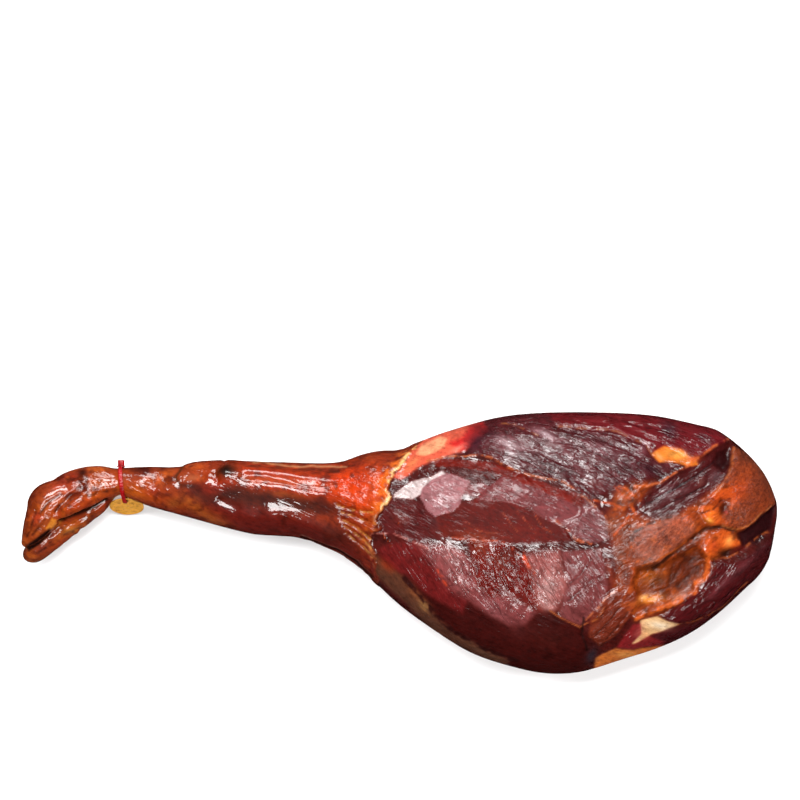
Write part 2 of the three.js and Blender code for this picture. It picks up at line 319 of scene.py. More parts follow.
def to_path(points, path):
    """Distance from each face point to a path, with the share along it and the side (+ is left)."""
    path = np.array(path, float)
    starts, ends = path[:-1], path[1:]
    lengths = np.linalg.norm(ends - starts, axis=1)
    best = np.full(len(points), 1e9)
    share = np.zeros(len(points))
    side = np.zeros(len(points))
    run = 0.0
    for a, b, length in zip(starts, ends, lengths):
        d = (b - a) / length
        rel = points[:, :2] - a
        t = np.clip(rel @ d, 0, length)
        off = rel - t[:, None] * d
        distance = np.hypot(off[:, 0], off[:, 1])
        near = distance < best
        best = np.where(near, distance, best)
        share = np.where(near, (run + t) / lengths.sum(), share)
        side = np.where(near, d[0] * rel[:, 1] - d[1] * rel[:, 0], side)
        run += length
    return best, share, np.sign(side)


def inside(points, outline):
    """Signed distance to a closed outline on the face, positive inside."""
    outline = np.array(outline, float)
    distance, _, _ = to_path(points, np.vstack([outline, outline[:1]]))
    x, y = points[:, 0], points[:, 1]
    within = np.zeros(len(points), bool)
    for (x0, y0), (x1, y1) in zip(outline, np.roll(outline, -1, axis=0)):
        crosses = (y0 > y) != (y1 > y)
        within ^= crosses & (x < (x1 - x0) * (y - y0) / (y1 - y0 + 1e-12) + x0)
    return np.where(within, distance, -distance)


# ---------------------------------------------------------------- the face's places, in millimetres
# Where soft changes along the leg begin and end, on X.
SHANK_START = (-225, -200)
SHANK_END = (-75, -45)
TIGHT_SKIN_START = (-160, -148)
KNEE_START = (-90, -60)
SKIN_EDGE = [
    (24, 140), (22, 97), (9, 86), (2, 74), (-6, 66), (-11, 53), (-7, 46), (-11, 39), (-16, 34),
    (-21, 25), (-16, 15), (-27, 11), (-27, -1), (-23, -14), (-20, -30), (-20, -60),
]
SEAM = [
    (26, 80), (42, 84), (66, 85), (79, 84), (87, 82), (102, 74), (118, 68), (135, 64), (155, 60),
    (162, 54), (170, 48), (179, 43), (189, 34), (200, 21),
]
GULLY = [(36, 79), (60, 78), (87, 74), (110, 66), (130, 58), (150, 50), (170, 42)]
TOP_MUSCLE = [
    (66, 86), (76, 112), (95, 132), (240, 134), (330, 108), (308, 99), (266, 76), (230, 60),
    (205, 60), (186, 45), (170, 52), (155, 62), (118, 71), (79, 86),
]
RED_TOP = [
    (138, 134), (150, 112), (186, 108), (206, 107), (221, 99), (232, 94), (240, 86), (262, 90),
    (285, 86), (313, 99), (330, 104), (300, 134),
]
CRINKLED_EDGE = [(36, 76), (60, 77), (87, 72), (97, 62), (87, 57), (66, 58), (50, 66), (38, 70)]
# The cut below carries a near-white painted highlight.
PAINTED_HIGHLIGHT_CUT = [
    (-5, 46), (11, 61), (27, 64), (41, 70), (47, 67), (31, 62), (22, 54), (20, 49), (11, 45),
]
ROSE_CUT = [
    (22, 54), (31, 62), (46, 69), (58, 65), (66, 61), (60, 48), (57, 40), (49, 32), (34, 29),
    (27, 35), (20, 45),
]
SMALL_CUT = [(65, 57), (77, 59), (84, 56), (74, 48), (61, 48)]
LONG_CUT = [
    (77, 48), (87, 57), (98, 65), (114, 65), (138, 56), (147, 48), (160, 45), (175, 35), (170, 27),
    (151, 19), (135, 27), (122, 35), (106, 41), (90, 43), (74, 43),
]
SHOULDER_CUT = [
    (160, 50), (172, 47), (184, 38), (197, 22), (196, 8), (184, 2), (168, 6), (152, 20), (172, 28),
    (174, 36),
]
VALLEY = [
    (36, 27), (58, 40), (74, 43), (106, 41), (135, 27), (154, 16), (160, 5), (122, 2), (103, 2),
    (68, 6), (42, 8), (38, 14),
]
UNDER_CUFF = [(-9, 42), (17, 42), (36, 27), (42, 8), (15, 5), (-14, 12), (-18, 24)]
ROSE_BELLY = [
    (17, 2), (42, 0), (58, -5), (65, -14), (71, -24), (77, -38), (87, -46), (106, -46), (131, -64),
    (120, -75), (104, -78), (88, -68), (65, -52), (46, -40), (30, -16),
]
RED_BELLY = [
    (-20, -6), (-4, 2), (17, 2), (30, -16), (46, -40), (65, -52), (60, -66), (30, -50), (0, -28),
]
FIBRE_FAN = [
    (66, 5), (90, 4), (108, -2), (124, -30), (135, -62), (106, -46), (87, -46), (77, -38), (71, -24),
]
# The film below is coloured partly as the meat's grey film and partly as painted sheen.
FILM_AND_PAINTED_SHEEN = [
    (120, -9), (151, -5), (154, -22), (159, -35), (154, -51), (146, -61), (131, -55), (125, -30),
]
PANEL = [
    (154, -6), (189, -3), (193, -20), (196, -38), (189, -54), (171, -75), (152, -65), (159, -35),
]
DARK_BELLY = [
    (-16, -26), (4, -30), (30, -50), (60, -66), (65, -54), (88, -68), (104, -76), (121, -74),
    (133, -64), (146, -62), (157, -71), (171, -77), (178, -88), (180, -116), (150, -130),
    (100, -122), (60, -98), (24, -66), (0, -40),
]
BELLY_EDGE = [(4, -33), (18, -47), (30, -62), (42, -74), (60, -88), (84, -102), (112, -113)]
FAT_STRIP = [
    (-36, -4), (-26, -6), (-12, -20), (2, -31), (16, -44), (26, -58), (38, -72), (54, -85),
    (76, -99), (104, -112), (100, -118), (62, -100), (30, -80), (8, -58), (-12, -40), (-30, -20),
]
LOBE = [
    (181, -68), (190, -54), (206, -43), (222, -44), (224, -54), (217, -67), (206, -83), (190, -95),
    (180, -86),
]
ORANGE_PATCH = [
    (239, 86), (251, 93), (265, 90), (272, 85), (280, 82), (282, 78), (272, 76), (265, 78),
    (252, 80), (246, 79),
]
ORANGE_RIDGE = [(313, 99), (297, 92), (286, 86), (272, 75), (257, 67), (246, 59), (233, 56), (221, 57)]
TROUGH = [
    (214, 32), (228, 45), (243, 57), (265, 67), (288, 83), (307, 94), (318, 91), (315, 78),
    (305, 62), (294, 51), (276, 42), (257, 33), (234, 28),
]
TROUGH_POCKET = [(303, 88), (314, 92), (318, 80), (308, 72), (300, 78)]
PLATEAU = [
    (319, 92), (332, 86), (346, 75), (355, 61), (359, 48), (357, 38), (345, 29), (337, 22),
    (326, 14), (313, 16), (303, 19), (291, 22), (284, 32), (286, 37), (297, 48), (307, 61), (316, 77),
]
WEDGE = [(321, 11), (337, 19), (353, 33), (359, 36), (356, 18), (342, 2), (326, 0)]
BONE_ZONE = [
    (196, 26), (204, 50), (222, 60), (240, 58), (232, 46), (226, 34), (240, 24), (262, 30), (284, 44),
    (300, 56), (316, 60), (322, 30), (322, 4), (300, -14), (294, -30), (280, -48), (250, -62),
    (224, -70), (208, -54), (202, -40), (206, -20), (202, 0),
]
WET_ORANGE = [
    (284, 32), (286, 37), (297, 48), (303, 55), (312, 58), (318, 48), (314, 38), (304, 28), (312, 18),
    (303, 19), (291, 22),
]
PALE_OVAL = [(17, 87), (22, 93), (30, 98), (40, 102), (45, 101), (42, 95), (34, 90), (24, 86)]
GRANULAR = [
    (216, 0), (221, 13), (237, 21), (256, 27), (272, 29), (279, 20), (275, 11), (257, -6),
    (246, -19), (233, -21), (224, -19), (217, -11),
]
BONE_GULLY = [(318, 14), (303, 18), (289, 16), (276, 7), (262, -3), (252, -12), (240, -22)]
SOCKET = [
    (225, -22), (249, -19), (265, -10), (281, -4), (289, -12), (291, -24), (280, -35), (265, -46),
    (249, -48), (240, -49), (227, -48), (221, -36),
]
SOCKET_RIM = [
    (289, -8), (292, -18), (291, -25), (288, -31), (280, -35), (278, -43), (270, -48), (260, -53),
    (249, -57), (237, -62), (224, -69),
]
ORANGE_MASS = [
    (286, -6), (290, 4), (297, 11), (307, 15), (316, 10), (322, 2), (310, -3), (302, -11), (293, -12),
]
RIGHT_MUSCLE = [
    (259, -54), (279, -44), (292, -30), (294, -16), (316, -18), (355, 4), (358, -12), (348, -30),
    (330, -36), (308, -60), (280, -72), (262, -74), (250, -66),
]
SECOND_MUSCLE = [
    (243, -84), (279, -76), (294, -70), (308, -64), (330, -40), (330, -60), (300, -84), (270, -96),
    (247, -97), (238, -93),
]
RED_PIECE = [
    (208, -97), (214, -86), (222, -75), (231, -74), (231, -84), (240, -90), (252, -93), (250, -99),
    (236, -98), (222, -100),
]
CREAM_FAT = [
    (229, -71), (243, -67), (264, -74), (249, -79), (238, -84), (227, -92), (222, -94), (231, -84),
]
EDGE_FAT = [
    (188, -110), (206, -99), (222, -102), (238, -100), (252, -98), (262, -98), (250, -112),
    (210, -122), (186, -124),
]
PINK_FAT = [
    (-6, 66), (2, 74), (9, 84), (24, 100), (50, 118), (74, 118), (80, 112), (68, 99), (62, 91),
    (28, 80), (14, 72), (2, 64),
]
PINK_RED = [(50, 98), (60, 101), (68, 110), (80, 116), (84, 108), (70, 98), (60, 90)]

# Outline, colour, width of its edge, creases, lift, lean along and across, direction of its
# creases, gloss.
PATCHES = [
    (TOP_MUSCLE, (100, 38, 44), 2, 0.75, 0.5, None, 0, 0.8),
    (RED_TOP, (122, 26, 34), 2, 0.45, 1.2, None, 0, 0.8),
    (UNDER_CUFF, (96, 24, 24), 3, 0.3, -0.2, None, 0, 0.12),
    (CRINKLED_EDGE, (92, 30, 28), 2.4, 0.8, 0, None, 0, 0.4),
    (VALLEY, (106, 22, 12), 1.6, 0.15, -0.5, None, 0, 0.07),
    (RED_BELLY, (122, 34, 34), 3, 0.4, 0, None, 1, 0.5),
    # The mauve colours of ROSE_BELLY, the film, PANEL, ROSE_CUT, SMALL_CUT, LONG_CUT and SHOULDER_CUT are
    # partly the meat's grey film and partly painted sheen.
    (ROSE_BELLY, (150, 80, 80), 5, 0.9, 0.4, None, 1, 1),
    (FIBRE_FAN, (122, 26, 16), 3.5, 0.7, 0, None, 1, 0.9),
    (FILM_AND_PAINTED_SHEEN, (172, 104, 100), 5, 1, 0.6, None, 1, 1),
    (PANEL, (136, 72, 72), 1.6, 0.35, 0.3, None, 1, 0.6),
    # near-white painted highlight, on a plane leaned to mirror the top light
    (PAINTED_HIGHLIGHT_CUT, (228, 214, 212), 0.9, 0.3, 0.3, (0.05, -0.16), 0, 1),
    (ROSE_CUT, (172, 118, 122), 0.7, 0.35, 0.2, None, 0, 0.55),
    (SMALL_CUT, (134, 72, 74), 0.7, 0.3, 0.2, None, 0, 0.5),
    (LONG_CUT, (136, 70, 72), 0.7, 0.35, 0.3, (0.08, -0.24), 0, 0.32),
    (SHOULDER_CUT, (138, 82, 84), 1.2, 0.8, 0.4, None, 0, 0.85),
    (DARK_BELLY, (74, 18, 14), 3.5, 0.25, 0.2, None, 0, 0.25),
    (BONE_ZONE, (156, 70, 26), 5, 0.45, -0.4, None, 2, 0.4),
    (TROUGH, (88, 28, 30), 4.5, 0.6, -2.8, None, 2, 0.6),
    # near-black painted shade in the trough's deep pocket
    (TROUGH_POCKET, (52, 12, 14), 3, 0, -3, None, 2, 0.15),
    (GRANULAR, (160, 88, 66), 3.4, 0.1, 1.2, None, 2, 0.5),
    (SOCKET, (128, 56, 16), 3, 0.5, -3.4, None, 2, 0.3),
    (PLATEAU, (150, 70, 34), 1.2, 0, 2.4, None, 2, 0.3),
    (WET_ORANGE, (206, 92, 34), 3, 0.4, -0.6, None, 2, 0.7),
    (WEDGE, (56, 18, 22), 2, 0.3, -3, None, 2, 0.4),
    (ORANGE_MASS, (222, 104, 38), 1.6, 0.3, 1.6, None, 2, 1),
    (RIGHT_MUSCLE, (96, 26, 30), 1.6, 0.7, 1.2, None, 2, 1),
    (SECOND_MUSCLE, (92, 26, 32), 1.4, 0.4, 0.6, None, 2, 1),
    (RED_PIECE, (150, 40, 44), 1.6, 0.5, 0.6, None, 2, 0.8),
    (LOBE, (134, 58, 36), 1.8, 0.7, 1.6, None, 2, 0.35),
    (EDGE_FAT, (232, 134, 52), 1.6, 0.2, -0.4, None, 0, 0.6),
    (CREAM_FAT, (250, 206, 150), 1.2, 0.15, -0.4, None, 0, 0.6),
    (ORANGE_PATCH, (238, 138, 50), 1.4, 0.2, -1, None, 0, 1),
    (PINK_FAT, (240, 112, 84), 2, 0.3, 0.4, None, 0, 0.9),
    (PINK_RED, (206, 36, 34), 3, 0.2, 0, None, 0, 1),
    (PALE_OVAL, (252, 178, 134), 1.4, 0.1, 0.5, None, 0, 0.8),
    (FAT_STRIP, (112, 70, 50), 2.6, 0.4, 0.4, None, 1, 0.35),
]

# Path, half width, colour, height.
LINES = [
    (GULLY, 4, (128, 30, 16), -2.2),
    (SEAM, 0.9, (206, 118, 70), 0.9),
    ([(98, 114), (109, 114), (118, 110), (131, 102)], 0.7, (170, 110, 60), -1),
    ([(150, 112), (186, 108), (206, 107), (221, 99), (232, 94), (239, 86)], 0.8, (150, 96, 60), -1.6),
    ([(100, 86), (130, 76), (160, 62), (190, 42)], 0.8, (70, 20, 22), -1.2),
    ([(96, 93), (130, 84), (165, 68), (198, 48)], 0.7, (84, 28, 32), -1),
    ([(140, 98), (170, 92), (200, 80), (222, 66)], 0.7, (84, 28, 32), -1),
    ([(160, 104), (190, 98), (214, 90), (230, 78)], 0.7, (80, 26, 30), -0.9),
    ([(180, 78), (204, 70), (226, 62)], 0.6, (78, 28, 34), -0.9),
    ([(150, 126), (190, 122), (230, 112), (262, 104)], 0.8, (88, 16, 26), -1),
    (ORANGE_RIDGE, 1.1, (212, 116, 66), 1.6),
    ([(202, 59), (214, 54), (221, 46), (217, 38), (222, 30)], 1.5, (214, 104, 50), 0.7),
    ([(184, 43), (198, 41), (209, 35), (216, 29), (209, 19), (202, 10)], 1, (210, 98, 50), 0.6),
    ([(221, 57), (227, 48), (226, 38)], 0.9, (206, 104, 56), 0.5),
    ([(201, 58), (210, 47), (219, 44)], 0.8, (196, 92, 56), 0.5),
    ([(233, 40), (256, 52), (282, 68), (300, 82)], 0.8, (50, 22, 26), -1.2),
    ([(240, 32), (262, 44), (288, 56)], 0.7, (60, 26, 28), -1),
    # dark painted shade along the gully under the plateau
    (BONE_GULLY, 1.9, (70, 32, 16), -2.6),
    (SOCKET_RIM, 2, (222, 112, 48), 2.2),
    ([(304, 19), (318, 15), (330, 19), (344, 30), (357, 39)], 0.7, (206, 130, 76), 0.6),
    ([(319, 92), (316, 77), (307, 61), (297, 48)], 0.8, (190, 110, 60), 0.8),
    ([(264, -74), (281, -71), (294, -65), (308, -59), (330, -35)], 1, (186, 104, 46), -1.2),
    ([(294, -14), (312, -12), (334, 2), (352, 12)], 0.9, (176, 96, 48), -1.4),
    ([(297, -56), (312, -44), (334, -22)], 0.7, (60, 16, 22), -1),
    ([(147, 24), (154, 18), (162, 9), (170, 4), (180, 2)], 1.2, (222, 112, 58), 1.2),
    ([(-25, 11), (-5, 11), (17, 2), (33, -5)], 0.8, (186, 120, 110), 0.8),
    ([(50, 8), (68, 6), (92, 5), (104, 0), (112, -8)], 0.9, (190, 96, 70), -1),
    ([(108, -3), (116, -7), (122, -19), (126, -27)], 1.8, (232, 84, 34), -0.8),
    ([(36, -22), (42, -32), (46, -40)], 1.4, (224, 84, 50), -0.6),
    ([(141, -60), (157, -70), (171, -77), (186, -68), (192, -57)], 0.7, (206, 120, 64), 0.7),
    ([(176, -70), (186, -58), (198, -46), (204, -43)], 0.8, (196, 110, 66), 0.8),
    ([(174, -66), (173, -84), (178, -100)], 1.1, (44, 16, 14), -1.2),
    ([(186, -84), (196, -72), (208, -58)], 0.6, (78, 32, 22), -1),
    ([(196, -88), (206, -76), (216, -62)], 0.6, (78, 32, 22), -1),
    ([(159, -35), (168, -30), (180, -12)], 0.6, (92, 44, 44), -0.6),
    ([(160, -52), (176, -36), (190, -30)], 0.5, (96, 50, 50), -0.5),
    ([(76, 48), (90, 44), (106, 42), (122, 36), (135, 27), (151, 19)], 0.7, (112, 56, 52), 0.4),
    (BELLY_EDGE, 2, (58, 18, 16), -0.4),
    ([(96, 31), (104, 22), (111, 14)], 0.4, (196, 110, 76), 0.3),
    ([(60, 24), (76, 15), (92, 12)], 0.4, (176, 90, 60), 0.3),
    ([(112, 32), (120, 22), (130, 10)], 0.4, (190, 104, 70), 0.3),
    ([(128, 28), (134, 18), (146, 10)], 0.4, (190, 96, 60), 0.3),
    ([(226, -20), (240, -14), (256, -6), (270, 4)], 0.9, (206, 104, 40), 0.8),
    ([(210, -52), (216, -40), (220, -26), (214, -10)], 0.9, (176, 84, 44), 0.6),
    ([(290, 46), (300, 40), (312, 44)], 0.8, (110, 40, 20), -1),
    ([(284, 30), (296, 34), (304, 42)], 0.8, (100, 40, 20), -1),
    ([(222, 14), (236, 22), (256, 28)], 0.8, (64, 30, 22), -1),
]

# Middle, two radii, turn in degrees, colour, strength of the colour, height.
SPOTS = [
    ((72, 98), (12, 9), 40, (70, 34, 48), 0.7, 0),
    ((84, 106), (16, 5), -28, (62, 20, 28), 0.7, -0.6),
    ((122, 84), (26, 4), -24, (72, 22, 28), 0.7, -0.6),
    ((152, 72), (20, 4), -30, (76, 24, 30), 0.6, -0.6),
    ((176, 103), (24, 4), -18, (82, 24, 32), 0.7, -0.6),
    ((214, 76), (18, 6), -30, (84, 28, 36), 0.7, -0.4),
    ((238, 71), (13, 5), -20, (60, 30, 40), 0.7, 0),
    # The next two spots are painted highlights; the third is partly the grey film and partly painted
    # sheen.
    ((104, 94), (16, 6), -22, (212, 196, 198), 0.8, 1.2),
    ((139, 103), (14, 4.5), -28, (204, 188, 192), 0.75, 0.8),
    ((190, 90), (22, 7), -25, (146, 104, 110), 0.6, 1.4),
    ((228, 88), (9, 5), 60, (150, 108, 114), 0.5, 1),
    # The next four spots: two painted highlights on the film, then two mauve spots that are partly the
    # grey film and partly painted sheen.
    ((140, -38), (9, 15), -20, (216, 186, 182), 0.55, 0.8),
    ((138, -56), (10, 7), -20, (206, 160, 154), 0.5, 0.6),
    ((52, -8), (12, 6), -20, (190, 140, 138), 0.5, 0.6),
    ((160, 84), (18, 6), -30, (130, 88, 92), 0.5, 1),
    ((256, 108), (10, 8), -40, (74, 46, 56), 0.8, 0),
    ((290, 100), (10, 5), -30, (86, 40, 50), 0.6, 0),
    ((70, 10), (32, 6), -4, (138, 56, 20), 0.6, 0),
    ((118, 14), (24, 8), -10, (116, 28, 16), 0.6, 0),
    ((0, 26), (10, 7), 0, (132, 66, 54), 0.5, 0),
    ((76, 0), (12, 8), -60, (150, 66, 24), 0.6, 0),
    ((96, -16), (10, 7), -50, (140, 56, 28), 0.6, 0),
    ((104, -8), (10, 6), 20, (84, 44, 36), 0.5, 0),
    # These three mauve spots are partly the grey film and partly painted sheen on the fibres.
    ((50, -14), (12, 8), -40, (176, 122, 120), 0.5, 0.6),
    ((60, -36), (14, 6), -50, (170, 110, 106), 0.5, 0.5),
    ((90, -60), (15, 8), -40, (156, 96, 98), 0.5, 0.6),
    ((112, -78), (14, 10), -50, (128, 66, 66), 0.5, 0),
    ((140, -90), (20, 12), 0, (84, 28, 20), 0.5, 0),
    ((182, 58), (10, 5), 0, (150, 96, 90), 0.4, 0.6),
    # The next four spots: two mauve patches, partly the grey film and partly painted sheen, then a painted
    # reflection and a painted glint.
    ((252, 50), (14, 6), 40, (128, 96, 104), 0.6, 1),
    ((268, 52), (9, 5), 20, (132, 92, 96), 0.6, 1),
    ((299, 65), (9, 6), 50, (112, 88, 92), 0.7, 0.6),
    ((285, 60), (6, 3), 60, (150, 110, 100), 0.5, 0.6),
    ((322, 54), (18, 9), 50, (206, 84, 30), 0.75, 0),
    ((330, 66), (16, 10), 60, (168, 78, 34), 0.5, 0),
    ((300, 44), (9, 7), 40, (216, 92, 36), 0.7, 0),
    ((294, 30), (10, 6), -20, (240, 124, 44), 0.85, 0.8),
    # a painted highlight on the orange fold
    ((292, 24), (4, 2.5), -20, (255, 190, 90), 0.8, 0.4),
    # a hole: near-black painted shade, with a small painted red glint in it
    ((307, 34), (5.5, 6.5), 0, (64, 22, 14), 0.85, -3.5),
    ((309, 31), (1.6, 2.4), 20, (200, 50, 30), 0.7, 0),
    # a painted highlight in the middle of the orange patch
    ((262, 86), (11, 4.5), -12, (252, 184, 92), 0.8, 0.4),
    ((246, 84), (6, 2), -40, (240, 196, 150), 0.6, 0),
    ((279, 83), (6, 3), 10, (234, 110, 50), 0.8, 0),
    ((235, 12), (14, 9), 30, (176, 110, 94), 0.6, 0.8),
    ((262, 10), (13, 8), 50, (170, 84, 50), 0.6, 0),
    ((236, -8), (12, 9), 30, (166, 100, 78), 0.5, 0.6),
    ((270, 26), (9, 5), 40, (214, 96, 42), 0.6, 0),
    ((238, -30), (13, 9), 20, (190, 104, 24), 0.7, 0),
    ((290, 8), (9, 6), 20, (214, 100, 36), 0.7, 0.6),
    # dark painted shade in a hollow
    ((307, -8), (8, 5), 10, (40, 18, 12), 0.85, -1.6),
    ((212, 6), (6, 12), 0, (110, 56, 40), 0.7, 0),
    ((210, 46), (9, 7), 20, (224, 120, 54), 0.6, 0),
    # These three dark spots are painted shade in the holes between the fat webs.
    ((216, 54), (5, 3), 20, (70, 44, 48), 0.8, -1.2),
    ((206, 40), (5, 3.4), -20, (84, 54, 58), 0.8, -1),
    ((219, 42), (4, 3), 30, (88, 50, 44), 0.8, -1.2),
    ((214, -30), (6, 12), 10, (120, 52, 32), 0.7, 0),
    # These six dark spots are painted shade in the socket's creases and hollows.
    ((262, -28), (12, 2), 62, (60, 24, 12), 0.7, -0.8),
    ((272, -30), (10, 2), 42, (60, 24, 12), 0.7, -0.8),
    ((256, -32), (10, 2), 78, (72, 30, 14), 0.6, -0.8),
    ((246, -34), (5, 4), 0, (90, 48, 20), 0.6, -0.8),
    ((270, -24), (12, 9), 40, (104, 42, 20), 0.7, -1),
    ((276, -14), (8, 5), 30, (74, 30, 18), 0.6, -1),
    ((237, -51), (14, 4), 8, (250, 158, 62), 0.9, 0.8),
    # a painted highlight on the fat
    ((230, -49), (5, 2.5), 8, (255, 206, 140), 0.7, 0.4),
    ((262, -50), (10, 4), 35, (206, 112, 40), 0.7, 0),
    # a painted highlight on the orange mass
    ((311, 4), (6, 4), 60, (255, 176, 96), 0.85, 0.8),
    ((296, 0), (6, 6), 30, (196, 78, 28), 0.7, 0),
    ((56, 92), (9, 3), 30, (250, 150, 130), 0.8, 0),
    ((12, 78), (9, 5), 40, (240, 150, 96), 0.7, 0),
    ((200, 20), (8, 8), 30, (150, 92, 74), 0.5, 0.6),
    ((206, -8), (6, 9), 0, (120, 78, 74), 0.5, 0.4),
    ((198, -24), (3, 12), 8, (200, 98, 66), 0.6, 0.8),
    ((183, -106), (6, 10), -20, (66, 58, 70), 0.8, 0),
    ((216, -106), (14, 4), -10, (240, 172, 92), 0.7, 0),
    ((246, -75), (12, 4.5), -8, (255, 238, 214), 0.8, 0),
    ((232, -86), (5, 5), 0, (238, 170, 120), 0.6, 0),
    ((226, -82), (4, 8), -30, (206, 120, 110), 0.5, 0.4),
    ((345, 60), (12, 18), -30, (124, 58, 34), 0.6, 0),
    ((330, 84), (14, 6), -30, (112, 60, 44), 0.5, 0),
    ((320, 26), (14, 8), 30, (140, 68, 38), 0.6, 0),
    ((-12, -20), (10, 5), -45, (176, 66, 34), 0.7, 0),
    ((14, -46), (10, 5), -50, (186, 110, 62), 0.5, 0),
    ((24, -58), (8, 5), -55, (196, 152, 92), 0.6, 0),
    ((80, -104), (20, 4), -33, (110, 74, 56), 0.7, 0),
    # These two streaks are partly the grey film and partly painted sheen.
    ((320, -22), (22, 4), 33, (136, 88, 92), 0.5, 1),
    ((300, -40), (20, 3), 38, (130, 76, 82), 0.5, 1),
    ((342, -4), (14, 5), 30, (70, 34, 38), 0.6, 0.6),
]


# ---------------------------------------------------------------- the ham's shape
def ham_base():
    parts = [loft(leg_rings())] + [loft(limb_rings(rows)) for rows in FOOT_LIMBS]
    piece = joined("cured_ham", parts)
    remesh = piece.modifiers.new("one_skin", "REMESH")
    remesh.mode = "VOXEL"
    remesh.voxel_size = VOXEL
    remesh.use_smooth_shade = True
    smooth = piece.modifiers.new("soft_joins", "SMOOTH")
    smooth.factor = 0.5
    smooth.iterations = 10
    apply_modifiers(piece)
    return piece


def above_widest(points):
    """Height of each point above the leg's widest level, in millimetres."""
    share = np.clip((points[:, 0] * MM - ANKLE_X) / LEG_LENGTH, 0, 1)
    return points[:, 2] - curve_at(WIDEST_LEVEL, share) * THICKNESS / MM


def bump(points, path, width, height):
    """A rounded ridge, or a groove where the height is negative, along a path."""
    distance, _, _ = to_path(points, path)
    return height * np.exp(-((distance / width) ** 2))


def lump(points, centre, radii, angle, height=1.0):
    """A rounded hill, or a hollow, with two radii turned by an angle in degrees."""
    turned = stretched(points - np.array([*centre, 0]), angle, radii[0], radii[1])
    return height * np.exp(-(turned[:, 0] ** 2 + turned[:, 1] ** 2) * 1.2)


def region(points, outline, edge=2.5, grown=0.0):
    """1 inside an outline, 0 outside it, with a soft edge."""
    return smooth_step(inside(points, outline) + grown, -edge, edge)


def stroke(points, path, width, edge=1.5):
    """1 near a path, 0 away from it."""
    distance, _, _ = to_path(points, path)
    return 1 - smooth_step(distance, width - edge, width + edge)


def facets(points, spacing, angle, stretch, depth, seed):
    """Flat cuts of about one size that meet in crisp ridges."""
    turned = stretched(points, angle, stretch)[:, :2] / spacing
    cell = np.floor(turned).astype(np.int64)
    nearest = np.full(len(points), 1e9)
    for dx in (-1, 0, 1):
        for dy in (-1, 0, 1):
            other = cell + (dx, dy)
            key = np.column_stack([other, np.zeros(len(other), np.int64)])
            seeds = other + np.column_stack([hashed(key, seed), hashed(key, seed + 1)])
            nearest = np.minimum(nearest, ((turned - seeds) ** 2).sum(axis=1))
    return depth * (np.minimum(nearest, 1.0) - 0.4)


DEEPEST_CUT = 1.8


def lean(points, outline, slopes, edge):
    """What brings the face inside an outline onto one leaning plane, as one knife cut does."""
    middle = np.mean(outline, axis=0)
    plane = (points[:, 0] - middle[0]) * slopes[0] + (points[:, 1] - middle[1]) * slopes[1]
    share = region(points, outline, edge)
    level = (points[:, 2] * share).sum() / share.sum()
    return np.clip(level + plane - points[:, 2], -DEEPEST_CUT, DEEPEST_CUT) * share


def wandered(points, scale=16, reach=1.6):
    """Points moved about a little, so that an edge drawn through them wanders."""
    away = np.column_stack([noise(points, scale, seed, 3) for seed in (101, 102, 103)])
    return points + away * reach


class Face:
    """The points of the ham with everything that is laid on them."""

    def __init__(self, piece):
        self.piece = piece
        self.points = vertex_array(piece) / MM
        self.normals = vertex_normals(piece)
        self.drawn = wandered(self.points)
        distance, _, side = to_path(wandered(self.points, 7, 3), SKIN_EDGE)
        self.from_cuff = distance * side  # positive on the meat
        self.above_rim = above_widest(self.points) + 5 + 3 * noise(self.points, 30, 7, 2)
        self.up = self.normals[:, 2]
        self.meat = smooth_step(self.from_cuff, -0.6, 0.6) * smooth_step(self.above_rim, -0.8, 0.8)
        self.colour = np.zeros((len(self.points), 3))
        self.gloss = np.ones(len(self.points))
        self.wrinkle = np.zeros(len(self.points))
        self.grain = np.zeros(len(self.points))
        self.slant = np.zeros(len(self.points))
        self.rise = np.zeros(len(self.points))

    def lay(self, mask, colour, amount=1.0):
        share = (mask * amount)[:, None]
        self.colour += (np.array(colour, float) - self.colour) * share

    def blend(self, name, mask, value):
        old = getattr(self, name)
        setattr(self, name, old + (value - old) * mask)

    def store(self):
        srgb = np.clip(self.colour / 255, 0, 1)
        linear = np.where(srgb <= 0.04045, srgb / 12.92, ((srgb + 0.055) / 1.055) ** 2.4)
        rgba = np.column_stack([linear**PAINT_POWER * PAINT_SHARE, np.ones(len(linear))])
        layer = self.piece.data.color_attributes.new("paint", "FLOAT_COLOR", "POINT")
        layer.data.foreach_set("color", rgba.ravel())
        for name in ("gloss", "wrinkle", "grain", "meat", "slant", "rise"):
            layer = self.piece.data.attributes.new(name, "FLOAT", "POINT")
            layer.data.foreach_set("value", getattr(self, name).astype(float))


# ---------------------------------------------------------------- relief
# Outline, direction of the folds, their size and height.
FOLDED = [
    (TOP_MUSCLE, -28, 11, 0.9), (FILM_AND_PAINTED_SHEEN, -58, 9, 0.9), (ROSE_BELLY, -48, 10, 0.6),
    (FIBRE_FAN, -58, 8, 0.6), (RIGHT_MUSCLE, 35, 9, 0.8), (LOBE, 52, 8, 0.6), (TROUGH, 40, 10, 0.7),
    (RED_TOP, -14, 12, 0.6),
]
# Path, width and height of the rounded backs of the muscles.
MUSCLE_BACKS = [
    ([(95, 100), (150, 98), (220, 84)], 24, 3), ([(258, -72), (296, -52), (334, -14)], 20, 3.5),
    ([(60, -30), (110, -50), (150, -60)], 30, 2.4),
]


